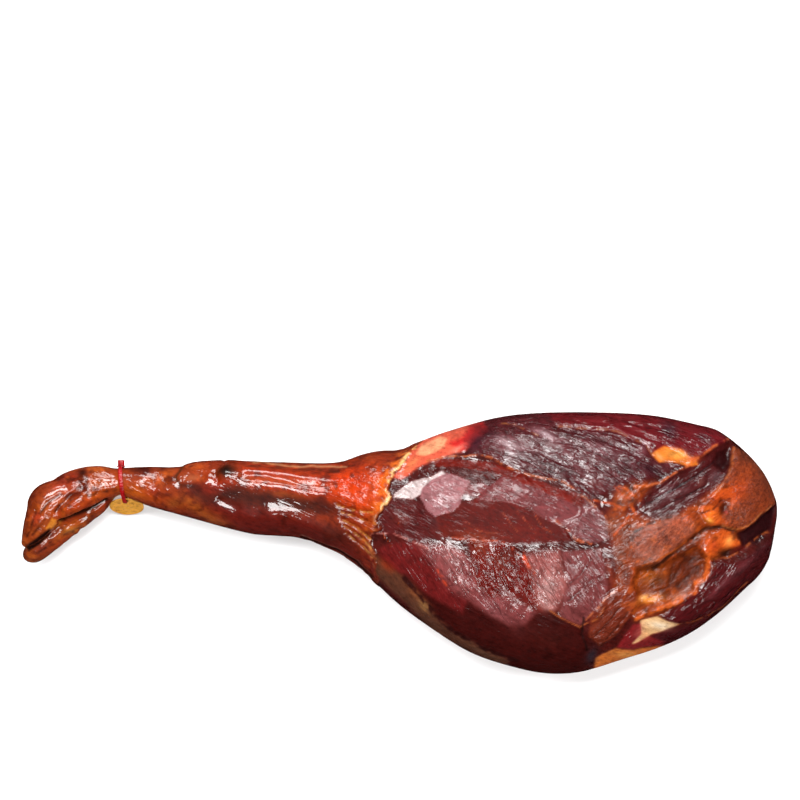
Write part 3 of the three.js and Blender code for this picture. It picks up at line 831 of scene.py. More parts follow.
def meat_relief(face):
    p = face.drawn
    broken = 0.75 + 0.5 * noise(p, 6, 61, 2)
    lift = facets(p, 26, -25, 1.6, 1.6, 71) + facets(p, 11, -25, 1.8, 0.55, 73)
    lift += 1.3 * noise(p, 46, 3, 2)
    for outline, _, edge, _, height, slopes, _, _ in PATCHES:
        share = region(p, outline, edge + 1, 1)
        if slopes:
            lift = lift * (1 - 0.7 * share) + lean(face.points, outline, slopes, edge + 1.6)
        lift += share * height
    for path, width, _, height in LINES:
        lift += bump(p, path, width + 1.1, height) * broken
    for centre, radii, angle, _, _, height in SPOTS:
        if height:
            lift += lump(p, centre, radii, angle, height)
    for outline, angle, size, height in FOLDED:
        folds = 1 - np.abs(noise(stretched(p, angle, 4.5), size, 81, 2)) * 2
        lift += height * folds * region(p, outline, 5)
    for path, width, height in MUSCLE_BACKS:
        lift += bump(p, path, width, height)
    return lift + lump(p, (242, 18), (34, 20), 40, 1.6)


TOE_CLEFT = [(-324, 21), (-306, 27), (-292, 34), (-280, 41)]
TOE_PAD = [(-337, 14), (-331, 25), (-321, 21), (-332, 13)]
HOOF_GAP = [(-358, -4), (-346, 5), (-333, 14), (-335, 8), (-345, -2), (-356, -9)]
HOCK_FOLD = [(-208, 74), (-213, 65), (-209, 56)]
TENDON_GROOVE = [(-150, 76), (-95, 72), (-56, 70)]
TENDON_EDGE = [(-140, 78), (-95, 74), (-50, 73)]
# Path, width and height.
SKIN_RIDGES = [
    ([(-150, 66), (-114, 61), (-56, 51)], 7, 2.6), ([(-124, 31), (-104, 27), (-66, 10)], 6, 2.4),
    ([(-148, 28), (-122, 24)], 5, 1.8), ([(-185, 46), (-150, 45), (-114, 40), (-50, 32)], 9, -1),
    ([(-170, 41), (-155, 34)], 3, -2), (TENDON_GROOVE, 1.8, -1.6),
    ([(-206, 64), (-186, 61)], 4.5, 2.2), (HOCK_FOLD, 3, -0.8),
    ([(-173, 60), (-176, 68), (-168, 77)], 2.4, -2), ([(-299, 62), (-276, 61)], 7, 1.2),
    ([(-318, 34), (-303, 44)], 4, 2.6), (TOE_CLEFT, 1.8, -3),
    ([(-326, 31), (-312, 46), (-300, 52)], 2, -1.8), ([(-345, 40), (-330, 52), (-312, 58)], 5, 1.2),
    ([(-348, 18), (-336, 26)], 4, 1.4), ([(-318, 13), (-300, 22)], 3.4, 1.4),
]
# Middle, radii and height of the hock's knob and of a toe joint.
SKIN_KNOBS = [((-164, 68), (11, 8), 3), ((-311, 9), (5, 4), 1.6)]
# Flatter places of the skin, with their slopes along and across the leg.
SKIN_FLATS = [
    (
        [(-299, 70), (-286, 69), (-270, 69), (-268, 59), (-274, 54), (-288, 52), (-297, 54)],
        (-0.1, -0.19),
    ),
    ([(-243, 68), (-230, 70), (-220, 66), (-221, 57), (-232, 54), (-243, 59)], (-0.07, -0.19)),
    ([(-209, 66), (-200, 68), (-185, 66), (-184, 60), (-196, 57), (-208, 59)], (-0.055, -0.19)),
    (
        [
            (-150, 69), (-128, 68), (-107, 65), (-89, 60), (-65, 57), (-47, 55), (-47, 51),
            (-65, 51), (-89, 53), (-107, 58), (-128, 61), (-150, 62),
        ],
        (0.05, -0.19),
    ),
]
FOOT_CREASES = [
    [(-330, 28), (-318, 42), (-306, 52), (-298, 56)], [(-344, 28), (-334, 40), (-322, 47)],
    [(-350, 8), (-340, 18), (-334, 30)], [(-356, 6), (-350, 20), (-346, 34)],
    [(-318, 60), (-306, 62), (-301, 54)], [(-296, 46), (-284, 49), (-272, 50)],
    [(-334, 0), (-322, 6), (-308, 14)], [(-346, -10), (-336, -4), (-326, 0)],
]
CUFF_FOLDS = [
    [(-93, 6), (-60, -6), (-40, -18), (-26, -32)], [(-86, 0), (-56, -13), (-36, -27), (-26, -40)],
    [(-56, 24), (-40, 16), (-26, 4)], [(-52, 17), (-38, 8), (-24, -6)], [(-50, 10), (-36, 0), (-24, -14)],
    [(-60, 38), (-44, 33), (-24, 30)], [(-56, 31), (-40, 26), (-22, 20)],
]


def skin_relief(face):
    p = face.points
    drawn = face.drawn
    lift = 0.5 * noise(stretched(p, -4, 2.2), 16, 21, 2)
    for path, width, height in SKIN_RIDGES:
        lift += bump(drawn, path, width, height)
    for centre, radii, height in SKIN_KNOBS:
        lift += lump(drawn, centre, radii, 0, height)
    for path in CUFF_FOLDS:
        lift += bump(drawn, path, 1.6, -1.5)
    for path in FOOT_CREASES:
        lift += bump(drawn, path, 2, -1.1)
    for outline, slopes in SKIN_FLATS:
        share = region(drawn, outline, 5)
        lift = lift * (1 - 0.9 * share) + lean(p, outline, slopes, 5)
    near_cuff = np.exp(-((face.from_cuff / 22) ** 2))
    lift += near_cuff * 0.6 * noise(stretched(p, 60, 2), 5, 23, 2)
    lift += 0.5 * np.exp(-(((face.from_cuff + 2) / 4) ** 2)) * (face.up > 0)
    return lift


def on_shank(face):
    """1 on the skin between the ankle and the knee, 0 elsewhere."""
    x = face.drawn[:, 0]
    return smooth_step(x, *SHANK_START) * (1 - smooth_step(x, *SHANK_END)) * (1 - face.meat)


MEAT_DEPTH = 1.2  # how far the meat lies under the skin round it
TIGHT_ROUNDS = 26


def shape_face(face):
    on_top = smooth_step(face.up, 0.15, 0.7)
    inside_rim = smooth_step(face.above_rim, 0, 14)
    meat = smooth_step(face.from_cuff, -1, 2) * on_top * inside_rim
    lift = meat * (meat_relief(face) - MEAT_DEPTH) + (1 - meat) * skin_relief(face) * (1 - 0.7 * face.meat)
    touching = smooth_step(face.points[:, 2], 0.5, 6)
    moved = face.points + face.normals * (lift * touching)[:, None]
    moved[:, 2] = np.maximum(moved[:, 2], 0)
    set_vertices(face.piece, moved * MM)
    even = evened_vertices(face.piece, TIGHT_ROUNDS)
    tight = on_shank(face) * smooth_step(face.points[:, 0], *TIGHT_SKIN_START)
    set_vertices(face.piece, moved * MM + (even - moved * MM) * tight[:, None])
    face.up = vertex_normals(face.piece)[:, 2]


# ---------------------------------------------------------------- colours of the ham
# Red, green and blue from 0 to 255.
MEAT, LIGHT_MEAT, DARK_MEAT = (88, 27, 23), (118, 38, 30), (60, 18, 18)
# The first colour on the next line is painted shade of small holes in the bone fat.
BONE_HOLE_SHADE, BONE_FAT = (74, 30, 16), (224, 112, 44)
SKIN, LIGHT_SKIN, SKIN_SPECK = (146, 54, 20), (184, 84, 26), (84, 24, 12)
FOOT_SKIN, TOE_SKIN, FOOT_SPECK = (176, 70, 24), (132, 54, 18), (206, 112, 40)
# The crease, cleft and hoof colours on the next line are painted shade in the foot's creases and in the
# gaps between its toes.
FOOT_CREASE_SHADE, PAD, TOE_CLEFT_SHADE, HOOF_GAP_SHADE = (70, 26, 14), (226, 144, 52), (40, 16, 10), (34, 12, 8)
# The first colour on the next line is painted shade along the hock's fold.
HOCK_FOLD_SHADE, TENDON_SHADE, TENDON_LIGHT = (84, 44, 18), (84, 38, 22), (196, 150, 112)
FOLD_SHADE, FOLD_LIGHT, FOLD_FAT = (44, 14, 10), (176, 132, 118), (216, 160, 92)
CUFF_FAT, CUFF_RIM = (240, 128, 40), (248, 206, 140)
SIDE_FAT, LIGHT_SIDE_FAT = (150, 80, 46), (196, 132, 82)
BRIGHT_SUM = 480  # a spot whose three colours add up to this is fully glossy


def paint_meat(face):
    p = face.drawn
    lay = face.lay
    mottle = noise(p, 22, 31, 3)
    broken = smooth_step(noise(p, 5, 63, 2), -0.5, 0.1)
    lay(np.ones(len(p)), MEAT)
    lay(smooth_step(mottle, 0, 0.8), LIGHT_MEAT, 0.7)
    lay(smooth_step(-mottle, 0, 0.8), DARK_MEAT, 0.7)
    face.wrinkle += 0.35
    for outline, colour, edge, creases, _, _, flow, gloss in PATCHES:
        share = region(p, outline, edge, 0.9)
        lay(share, colour, 0.92)
        face.blend("wrinkle", share, creases)
        face.blend("gloss", share, gloss)
        face.blend("slant", share, 1.0 if flow == 1 else 0.0)
        face.blend("rise", share, 1.0 if flow == 2 else 0.0)
    bone = region(p, BONE_ZONE, 5)
    # dark mottling that is painted shade of the holes between the bone fat's webs
    lay(bone * smooth_step(noise(p, 8, 69, 3), 0.1, 0.45), BONE_HOLE_SHADE, 0.55)
    lay(bone * smooth_step(noise(p, 7, 75, 3), 0.15, 0.5), BONE_FAT, 0.45)
    for centre, radii, angle, colour, amount, _ in SPOTS:
        share = lump(p, centre, radii, angle)
        lay(share, colour, amount)
        face.blend("gloss", share * amount, min(1.0, max(0.2, sum(colour) / BRIGHT_SUM)))
    for path, width, colour, height in LINES:
        share = stroke(p, path, width, 0.8) * (broken if width < 3 else 1)
        lay(share, colour, 0.85)
        if height < -1.5:
            face.blend("gloss", share, 0.12)
    for outline, edge, amount in ((GRANULAR, 5, 0.8), (PLATEAU, 2, 0.8), (SOCKET, 5, 0.3)):
        face.grain += amount * region(p, outline, edge)
    face.grain *= (1 - region(p, WET_ORANGE, 4)) * (0.75 + 0.45 * noise(p, 12, 67, 2))


# Middle, two radii, turn, colour, strength.
SKIN_SPOTS = [
    ((-340, 14), (22, 14), 65, (184, 92, 42), 0.8), ((-318, 60), (18, 10), 30, (150, 48, 26), 0.8),
    # The first spot on the next line is a painted highlight on the toe.
    ((-325, 50), (13, 7), 20, (196, 100, 66), 0.8), ((-338, 36), (10, 10), 50, (176, 84, 36), 0.7),
    ((-310, 40), (12, 5), 42, (172, 70, 32), 0.8), ((-302, 50), (8, 4), 40, (120, 40, 22), 0.6),
    ((-358, -1), (5, 8), 30, (206, 108, 44), 0.8), ((-352, -16), (8, 5), -30, (214, 120, 52), 0.9),
    ((-342, -4), (10, 5), 35, (158, 72, 62), 0.7), ((-330, 6), (8, 4), 40, (150, 60, 34), 0.7),
    ((-316, 12), (14, 5), 32, (206, 138, 62), 0.8), ((-300, 24), (10, 4), 36, (168, 92, 40), 0.7),
    ((-346, 24), (7, 5), 60, (196, 70, 46), 0.6), ((-303, 66), (5, 8), 0, (66, 24, 14), 0.8),
    # The second spot on the next line is lighter orange skin and partly a painted highlight on the
    # pastern.
    ((-287, 72), (12, 5), 0, (206, 112, 40), 0.8), ((-287, 60), (13, 8), 0, (204, 116, 66), 0.6),
    ((-290, 48), (14, 6), 10, (198, 96, 32), 0.8), ((-268, 58), (12, 14), 0, (190, 86, 22), 0.8),
    ((-246, 71), (14, 4), 0, (82, 28, 16), 0.8), ((-252, 48), (16, 8), -6, (204, 106, 32), 0.8),
    ((-231, 61), (12, 7), 0, (200, 100, 44), 0.65), ((-236, 49), (7, 5), 0, (170, 56, 32), 0.7),
    ((-222, 66), (10, 7), 30, (200, 100, 30), 0.8), ((-196, 74), (14, 4), 0, (204, 96, 26), 0.8),
    ((-198, 54), (12, 4), -8, (58, 20, 12), 0.8), ((-178, 54), (14, 8), 10, (160, 46, 22), 0.7),
    ((-196, 36), (24, 9), -28, (178, 98, 34), 0.8), ((-176, 22), (18, 7), -28, (186, 104, 38), 0.7),
    # The first spot on the next line is partly a painted highlight on the hock's knob.
    ((-197, 63), (12, 4), -6, (196, 120, 80), 0.6), ((-166, 69), (10, 7), 0, (46, 24, 14), 1),
    ((-150, 58), (9, 6), -20, (70, 26, 16), 0.6),
    ((-108, 48), (16, 4), -6, (150, 76, 24), 0.7), ((-215, 40), (10, 5), 0, (170, 104, 52), 0.5),
    ((-160, 37), (9, 3), -22, (122, 70, 66), 0.6), ((-48, 58), (28, 18), 0, (222, 72, 8), 0.9),
    ((-38, 40), (20, 12), 0, (214, 76, 10), 0.85), ((-70, 72), (26, 5), 0, (170, 58, 24), 0.7),
    ((-20, 58), (9, 20), 0, (238, 96, 14), 0.85), ((-60, 8), (20, 8), -26, (84, 36, 26), 0.7),
    ((-30, 0), (10, 10), 0, (140, 62, 34), 0.7), ((-8, 78), (18, 8), 30, (150, 52, 24), 0.7),
]


# Path, half width, soft edge, colour and strength of the colours that run along the shank.
SKIN_BANDS = [
    ([(-164, 62), (-120, 60), (-50, 56)], 20, 18, (178, 58, 12), 0.85),
    ([(-184, 36), (-140, 18), (-90, 6), (-50, -12), (-20, -40)], 19, 8, (112, 32, 26), 0.9),
    ([(-188, 48), (-150, 46), (-114, 41), (-50, 35)], 7, 6, (74, 26, 12), 0.9),
    # painted highlight along the shank's ridge
    ([(-152, 62), (-110, 60), (-50, 52)], 4, 3, (200, 110, 80), 0.4),
]


def paint_skin(face, mask):
    p = wandered(face.points, 18, 3.4)
    top = smooth_step(face.up, 0.0, 0.5)

    def lay(share, colour, amount=1.0):
        face.lay(share * mask, colour, amount)

    lay(np.ones(len(p)), SKIN)
    lay(smooth_step(noise(p, 30, 41, 3), -0.1, 0.6), LIGHT_SKIN, 0.6)
    for path, width, edge, colour, amount in SKIN_BANDS:
        lay(stroke(p, path, width, edge) * top, colour, amount)
    foot = smooth_step(-p[:, 0], 272, 290)
    lay(foot, FOOT_SKIN, 0.85)
    lay(smooth_step(-p[:, 0], 322, 346), TOE_SKIN, 0.8)
    for centre, radii, angle, colour, amount in SKIN_SPOTS:
        lay(lump(p, centre, radii, angle) * top, colour, amount)
    lay(smooth_step(noise(p, 9, 47, 3), 0.05, 0.6), SKIN_SPECK, 0.55)
    lay(foot * smooth_step(noise(p, 8, 49, 3), 0.1, 0.5), FOOT_SPECK, 0.4)
    drawn = face.drawn
    broken = smooth_step(noise(drawn, 5, 65, 2), -0.4, 0.2)
    # painted shade along the foot's creases
    for path in FOOT_CREASES:
        lay(stroke(drawn, path, 1.2, 1.1) * top, FOOT_CREASE_SHADE, 0.55 * broken)
    lay(region(drawn, TOE_PAD, 1) * top, PAD, 0.95)
    # painted shade in the cleft between the toes and in the gap between them
    lay(stroke(drawn, TOE_CLEFT, 1.2, 0.9) * top, TOE_CLEFT_SHADE, 0.9)
    lay(region(drawn, HOOF_GAP, 1.2), HOOF_GAP_SHADE, 0.9)
    # painted shade along the hock's fold
    lay(stroke(drawn, HOCK_FOLD, 1.2, 1) * top, HOCK_FOLD_SHADE, 0.7)
    lay(stroke(drawn, TENDON_GROOVE, 1.4, 1.4), TENDON_SHADE, 0.55 * broken)
    lay(stroke(drawn, TENDON_EDGE, 0.7, 0.6), TENDON_LIGHT, 0.7)
    for path in CUFF_FOLDS[:2]:
        lay(stroke(drawn, path, 1.3, 0.9) * top, FOLD_SHADE, 0.85)
        lay(stroke(drawn, [(x, y + 2.2) for x, y in path], 0.6, 0.5) * top, FOLD_LIGHT, 0.7)
    for path in CUFF_FOLDS[2:]:
        lay(stroke(drawn, path, 0.8, 0.6), FOLD_FAT, broken * 0.8)
    upper = 0.35 + 0.65 * smooth_step(p[:, 1], 20, 40)
    warm = np.exp(-(((face.from_cuff + 5) / 5) ** 2)) * smooth_step(face.up, 0.2, 0.6)
    lay(warm * smooth_step(noise(p, 6, 45, 2), -0.4, 0.3), CUFF_FAT, 0.8 * upper)
    pale = np.exp(-(((face.from_cuff + 1) / 2.0) ** 2)) * smooth_step(face.up, 0.2, 0.6)
    lay(pale * smooth_step(noise(p, 5, 43, 2), -0.3, 0.3), CUFF_RIM, upper)


RIM_START = (-9, -7)  # how far under the meat's lower edge the fat's lower edge runs


def paint_rim(face):
    """The layer of fat that shows between the meat and the skin all round the side."""
    band = smooth_step(face.above_rim, *RIM_START) * (1 - smooth_step(face.above_rim, -0.8, 0.8))
    band *= smooth_step(face.from_cuff, 0, 4)
    tone = smooth_step(noise(face.points, 18, 51, 2), -0.5, 0.5)
    face.lay(band, SIDE_FAT, 0.9)
    face.lay(band * tone, LIGHT_SIDE_FAT, 0.7)


# Middle and radii of the places where the skin is finely cracked.
CRACKLED = [((-287, 60), (15, 10)), ((-231, 61), (14, 9))]


def finish_face(face):
    paint_meat(face)
    band = smooth_step(face.above_rim, *RIM_START) * smooth_step(face.from_cuff, -0.6, 0.6)
    paint_skin(face, 1 - band)
    paint_rim(face)
    p = face.drawn
    skin = 1 - face.meat
    face.wrinkle = face.wrinkle * face.meat + skin * 0.3 - 0.16 * on_shank(face)
    for centre, radii in CRACKLED:
        face.wrinkle += 0.35 * lump(p, centre, radii, 0) * skin
    face.slant *= face.meat
    face.rise = face.rise * face.meat
    face.grain = np.clip(face.grain, 0, 1) * face.meat
    knee = smooth_step(p[:, 0], *KNEE_START)
    face.gloss = face.gloss * face.meat + skin * (0.85 - 0.35 * knee)
    face.store()


# ---------------------------------------------------------------- materials
class Material:
    """A node material that is written as a few lines of values."""

    def __init__(self, name):
        self.material = bpy.data.materials.new(name)
        self.material.use_nodes = True
        self.nodes = self.material.node_tree.nodes
        self.links = self.material.node_tree.links
        self.shader = self.nodes["Principled BSDF"]

    def give(self, socket, value):
        if isinstance(value, bpy.types.NodeSocket):
            self.links.new(value, socket)
        else:
            socket.default_value = value

    def node(self, kind, settings=None, **inputs):
        node = self.nodes.new("ShaderNode" + kind)
        for key, value in (settings or {}).items():
            setattr(node, key, value)
        for key, value in inputs.items():
            self.give(node.inputs[key.replace("_", " ")], value)
        return node

    def math(self, operation, a, b=0.5, clamp=False):
        node = self.node("Math", {"operation": operation, "use_clamp": clamp})
        self.give(node.inputs[0], a)
        self.give(node.inputs[1], b)
        return node.outputs[0]

    def times(self, a, b, clamp=False):
        return self.math("MULTIPLY", a, b, clamp)

    def plus(self, a, b):
        return self.math("ADD", a, b)

    def spread(self, value, low, high, to_low=0.0, to_high=1.0):
        node = self.node("MapRange", {"interpolation_type": "SMOOTHSTEP"})
        for i, setting in enumerate((value, low, high, to_low, to_high)):
            self.give(node.inputs[i], setting)
        return node.outputs[0]

    def mix(self, share, a, b, blend="MIX"):
        node = self.node("Mix", {"data_type": "RGBA", "blend_type": blend})
        self.give(node.inputs[0], share)
        self.give(node.inputs[6], a)
        self.give(node.inputs[7], b)
        return node.outputs[2]

    def attribute(self, name, output="Fac"):
        return self.node("Attribute", {"attribute_name": name}).outputs[output]

    def turned(self, angle, along, across=1.0):
        """Object coordinates in millimetres, turned on the face and drawn out lengthwise."""
        place = self.node("TexCoord").outputs["Object"]
        rotated = self.node("VectorRotate", {"rotation_type": "Z_AXIS"}, Vector=place)
        rotated.inputs["Angle"].default_value = math.radians(-angle)
        scaled = self.node("VectorMath", {"operation": "MULTIPLY"})
        self.give(scaled.inputs[0], rotated.outputs[0])
        scaled.inputs[1].default_value = (1 / MM / along, 1 / MM / across, 1 / MM / across)
        return scaled.outputs[0]

    def noise(self, place, size, detail=3.0, roughness=0.55, distortion=0.0, kind="FBM"):
        node = self.node("TexNoise", {"noise_type": kind}, Vector=place)
        node.inputs["Scale"].default_value = 1 / size
        node.inputs["Detail"].default_value = detail
        node.inputs["Roughness"].default_value = roughness
        node.inputs["Distortion"].default_value = distortion
        return node.outputs["Fac"]

    def bump(self, height, distance, normal=None):
        node = self.node("Bump", Height=height)
        node.inputs["Distance"].default_value = distance
        node.inputs["Strength"].default_value = 1.0
        if normal is not None:
            self.give(node.inputs["Normal"], normal)
        return node.outputs[0]

    def finish(self, **inputs):
        for key, value in inputs.items():
            self.give(self.shader.inputs[key.replace("_", " ")], value)
        return self.material


def srgb(red, green, blue):
    def linear(v):
        v /= 255
        return v / 12.92 if v <= 0.04045 else ((v + 0.055) / 1.055) ** 2.4

    return (linear(red), linear(green), linear(blue), 1)


MUSCLE_DIRECTIONS = (-27, -58, 35)  # degrees on the face: most of it, the belly, the butt end
FOLD_SIZE, FINE_FOLD_SIZE = 9.0, 3.2
SPECKLE_SIZE, PATCH_SIZE, MARBLE_SIZE, FLECK_SIZE, WAVE_SIZE = 2.6, 11, 3.4, 4.6, 6
CALM_SIZE, SHEEN_SIZE = 26, 17
# Multipliers of the paint: the first gives random darker tone and painted shade in creases and grain
# hollows, the last painted light on the grain's raised tops.
DARK_TONE_AND_SHADE = (0.3, 0.2, 0.18, 1)
LIGHTER = (1.6, 1.5, 1.5, 1)
GRAIN_PEAK_LIGHT = (1.7, 1.55, 1.4, 1)
RELIEF_DEPTH = 1.1 * MM


def by_flow(m, pattern):
    """One pattern along the muscles, which run three ways on the face."""
    most, belly, butt = [pattern(angle) for angle in MUSCLE_DIRECTIONS]
    return m.mix(m.attribute("rise"), m.mix(m.attribute("slant"), most, belly), butt)


def creases(m, size, along, detail=2.0, distortion=0.6):
    """Rounded folds parted by sharp creases, from 0 in a crease to 1."""
    def pattern(angle):
        lumps = m.noise(m.turned(angle, along), size, detail, 0.5, distortion)
        return m.times(m.math("ABSOLUTE", m.math("SUBTRACT", lumps, 0.5)), 5.0, True)
    return by_flow(m, pattern)


def ham_colour(m, patches, coarse, fine, speckle, wrinkle, grain):
    """The paint, marbled, with painted shade in the creases and the grain's hollows and painted light on
    the grain's raised tops.
    """
    paint = m.attribute("paint", "Color")
    dark_tone_and_shade = m.mix(1.0, paint, DARK_TONE_AND_SHADE, "MULTIPLY")
    colour = m.mix(m.spread(patches, 0.45, 0.75, 0, 0.45), paint, dark_tone_and_shade)
    marble = by_flow(m, lambda angle: m.noise(m.turned(angle, 2.4), MARBLE_SIZE, 5, 0.72))
    colour = m.mix(m.spread(marble, 0.5, 0.32, 0, 0.6), colour, dark_tone_and_shade)
    light = m.mix(1.0, colour, LIGHTER, "MULTIPLY")
    colour = m.mix(m.spread(marble, 0.52, 0.72, 0, 0.75), colour, light)
    # painted shade along the bump's creases
    for folds, width, amount in ((coarse, 0.16, 0.7), (fine, 0.14, 0.45)):
        crease_shade = m.times(m.spread(folds, width, 0.0), wrinkle)
        colour = m.mix(m.times(crease_shade, amount), colour, dark_tone_and_shade)
    # painted shade in the grain's hollows
    pit_shade = m.times(m.spread(speckle, 0.52, 0.4), grain)
    colour = m.mix(m.times(pit_shade, 0.8), colour, dark_tone_and_shade)
    # painted light on the grain's raised tops
    peak_light = m.times(m.spread(speckle, 0.5, 0.62), grain)
    lit_peaks = m.mix(1.0, colour, GRAIN_PEAK_LIGHT, "MULTIPLY")
    return m.mix(m.times(peak_light, 0.8), colour, lit_peaks)


def ham_relief(m, coarse, fine, speckle, wrinkle, grain):
    """Folds, fine folds, grain and soft waves, as one height."""
    height = m.times(coarse, wrinkle)
    height = m.plus(height, m.times(fine, m.times(wrinkle, 0.32)))
    height = m.plus(height, m.times(speckle, m.times(grain, 1.6)))
    wave_depth = m.plus(m.times(wrinkle, 0.6), 0.2)
    return m.plus(height, m.times(m.noise(m.turned(0, 1), WAVE_SIZE, 2), wave_depth))


def ham_coat(m, patches):
    """How oily the surface is: the gloss that was laid on, broken into flecks on the meat."""
    meat = m.attribute("meat")
    oily = m.spread(m.noise(m.turned(0, 1), SHEEN_SIZE, 3), 0.36, 0.6, 0.5, 1.15)
    sheen = m.times(m.spread(patches, 0.25, 0.5, 0.75, 1.0), oily)
    flecks = by_flow(m, lambda angle: m.noise(m.turned(angle, 2.6), FLECK_SIZE, 3, 0.6, 0.5))
    sheen = m.times(sheen, m.spread(flecks, 0.4, 0.56, 0.25, 1.2))
    sheen = m.plus(m.times(sheen, meat), m.math("SUBTRACT", 1.0, meat))
    return m.times(m.attribute("gloss"), sheen, True)


def ham_material():
    m = Material("cured_ham_surface")
    plain = m.turned(0, 1)
    grain = m.attribute("grain")
    calm = m.spread(m.noise(plain, CALM_SIZE, 2), 0.38, 0.62, 0.3, 1.15)
    wrinkle = m.times(m.attribute("wrinkle"), calm)
    coarse = creases(m, FOLD_SIZE, 4.2)
    fine = creases(m, FINE_FOLD_SIZE, 4.0, 2.0, 0.8)
    speckle = m.noise(m.turned(40, 1.5), SPECKLE_SIZE, 4, 0.8)
    patches = m.noise(plain, PATCH_SIZE, 3, 0.6)
    normal = m.bump(ham_relief(m, coarse, fine, speckle, wrinkle, grain), RELIEF_DEPTH)
    return m.finish(
        Base_Color=ham_colour(m, patches, coarse, fine, speckle, wrinkle, grain),
        Roughness=m.plus(0.5, m.times(grain, 0.2)), Normal=normal, Coat_Normal=normal,
        Coat_Weight=ham_coat(m, patches), Coat_Roughness=0.07, Coat_IOR=1.5,
        Specular_IOR_Level=0.08,
    )


# ---------------------------------------------------------------- seal and tag
STRAP_WIDTH = 4 * MM
STRAP_THICKNESS = 1.6 * MM
STRAP_LEAN = 3 * MM
HEAD_LENGTH, HEAD_WIDTH, HEAD_HEIGHT = 6 * MM, 6.5 * MM, 5.6 * MM
COLLAR = 0.9 * MM
TAG_RADIUS = 16.5 * MM
TAG_THICKNESS = 0.9 * MM
HOLE_RADIUS = 2.65 * MM
HOLE_TO_MIDDLE = 11.65 * MM
TAG_LEAN = math.radians(60)

seal_low, seal_high = (np.array(corner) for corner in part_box("ankle_seal"))
seal_x = seal_low[0] + (HEAD_LENGTH + STRAP_LEAN) / 2 + COLLAR
seal_share = (seal_x - ANKLE_X) / LEG_LENGTH
seal_y = float(curve_at(UPPER_EDGE, seal_share) + curve_at(LOWER_EDGE, seal_share)) / 2 * HALF_WIDTH
SEAL_MIDDLE = np.array([seal_x, seal_y, (seal_low[2] + seal_high[2]) / 2])
REACH_Y = seal_high[1] - HEAD_WIDTH + STRAP_THICKNESS / 2 - seal_y
REACH_Z = (seal_high[2] - seal_low[2] - STRAP_THICKNESS) / 2
SLACK = 5.5 * MM
HANG = np.array([-(REACH_Y + SLACK * 0.72), -0.55 * REACH_Z])


def strap_path(steps):
    def hug(degrees):
        turn = math.radians(degrees)
        return REACH_Y * squared(math.cos(turn)), REACH_Z * squared(math.sin(turn))

    loop = [hug(angle) for angle in (0, 24, 48, 72, 96, 120, 140)]
    loop += [(-REACH_Y - SLACK * 0.55, 0.22 * REACH_Z), (-REACH_Y - SLACK, -0.2 * REACH_Z)]
    loop += [tuple(HANG), (-0.72 * REACH_Y, -0.98 * REACH_Z)]
    loop += [hug(angle) for angle in (252, 272, 292, 314, 338)]
    points = [(-y / REACH_Y * STRAP_LEAN / 2, y, z) for y, z in loop]
    return smooth_path(points, steps, True) + SEAL_MIDDLE


def rounded(width, height, power=5, sides=24):
    """Points round a rectangle with soft corners."""
    turn = np.arange(sides) / sides * 2 * np.pi
    c, s = np.cos(turn), np.sin(turn)
    return np.column_stack([
        width / 2 * np.sign(c) * np.abs(c) ** (2 / power),
        height / 2 * np.sign(s) * np.abs(s) ** (2 / power),
    ])


def strap(steps=480, ribs=40):
    path = strap_path(steps)
    along = np.roll(path, -1, axis=0) - np.roll(path, 1, axis=0)
    along /= np.linalg.norm(along, axis=1, keepdims=True)
    across = np.array([1.0, 0.0, 0.0])
    rings = []
    for i, (centre, direction) in enumerate(zip(path, along)):
        outward = np.cross(direction, across)
        outward /= np.linalg.norm(outward)
        rib = 0.5 + 0.5 * math.cos(i / steps * ribs * 2 * math.pi)
        section = rounded(STRAP_WIDTH * (1 - 0.05 * rib), STRAP_THICKNESS, 4)
        thick = np.where(section[:, 1] > 0, 1 - 0.3 * rib, 1)
        rings.append(centre + section[:, :1] * across + (section[:, 1] * thick)[:, None] * outward)
    return loft(rings, closed=True)


def seal_block(start, rows):
    """A block that stands away from the leg: [how far out, length, height] for each ring."""
    rings = []
    for out, length, height in rows:
        ring = rounded(length, height)
        rings.append(start + np.column_stack([-ring[:, 0], np.full(len(ring), out), ring[:, 1]]))
    return loft(rings)


def seal_head():
    start = SEAL_MIDDLE + (-STRAP_LEAN / 2, REACH_Y - STRAP_THICKNESS / 2, 0)
    length, height, width = HEAD_LENGTH, HEAD_HEIGHT, HEAD_WIDTH
    body = [(0, 0.96, 0.96), (0.05, 1, 1), (0.9, 1, 1), (0.97, 0.96, 0.95), (1, 0.86, 0.84)]
    body += [(1, 0.6, 0.36), (0.86, 0.56, 0.32)]
    body = [(out * width, a * length, b * height) for out, a, b in body]
    wide, high = length + 2 * COLLAR, height + 2 * COLLAR
    collar = [(0, 0.94), (0.25, 1), (0.75, 1), (1, 0.94)]
    collar = [(out * COLLAR, share * wide, share * high) for out, share in collar]
    return [seal_block(start, body), seal_block(start, collar)]


def seal_material():
    m = Material("red_seal_plastic")
    place = m.turned(0, 1)
    cloudy = m.noise(place, 5, 3)
    scuffs = m.noise(m.turned(80, 6), 0.5, 3, 0.6)
    colour = m.mix(m.spread(cloudy, 0.35, 0.65), srgb(112, 2, 6), srgb(146, 4, 9))
    colour = m.mix(m.spread(scuffs, 0.6, 0.8, 0, 0.35), colour, srgb(190, 40, 40))
    height = m.plus(m.times(scuffs, 0.12), m.times(cloudy, 0.3))
    return m.finish(
        Base_Color=colour, Roughness=m.spread(scuffs, 0.3, 0.8, 0.25, 0.5),
        Normal=m.bump(height, 0.6 * MM), Coat_Weight=0.15, Coat_Roughness=0.1, Specular_IOR_Level=0.2,
    )


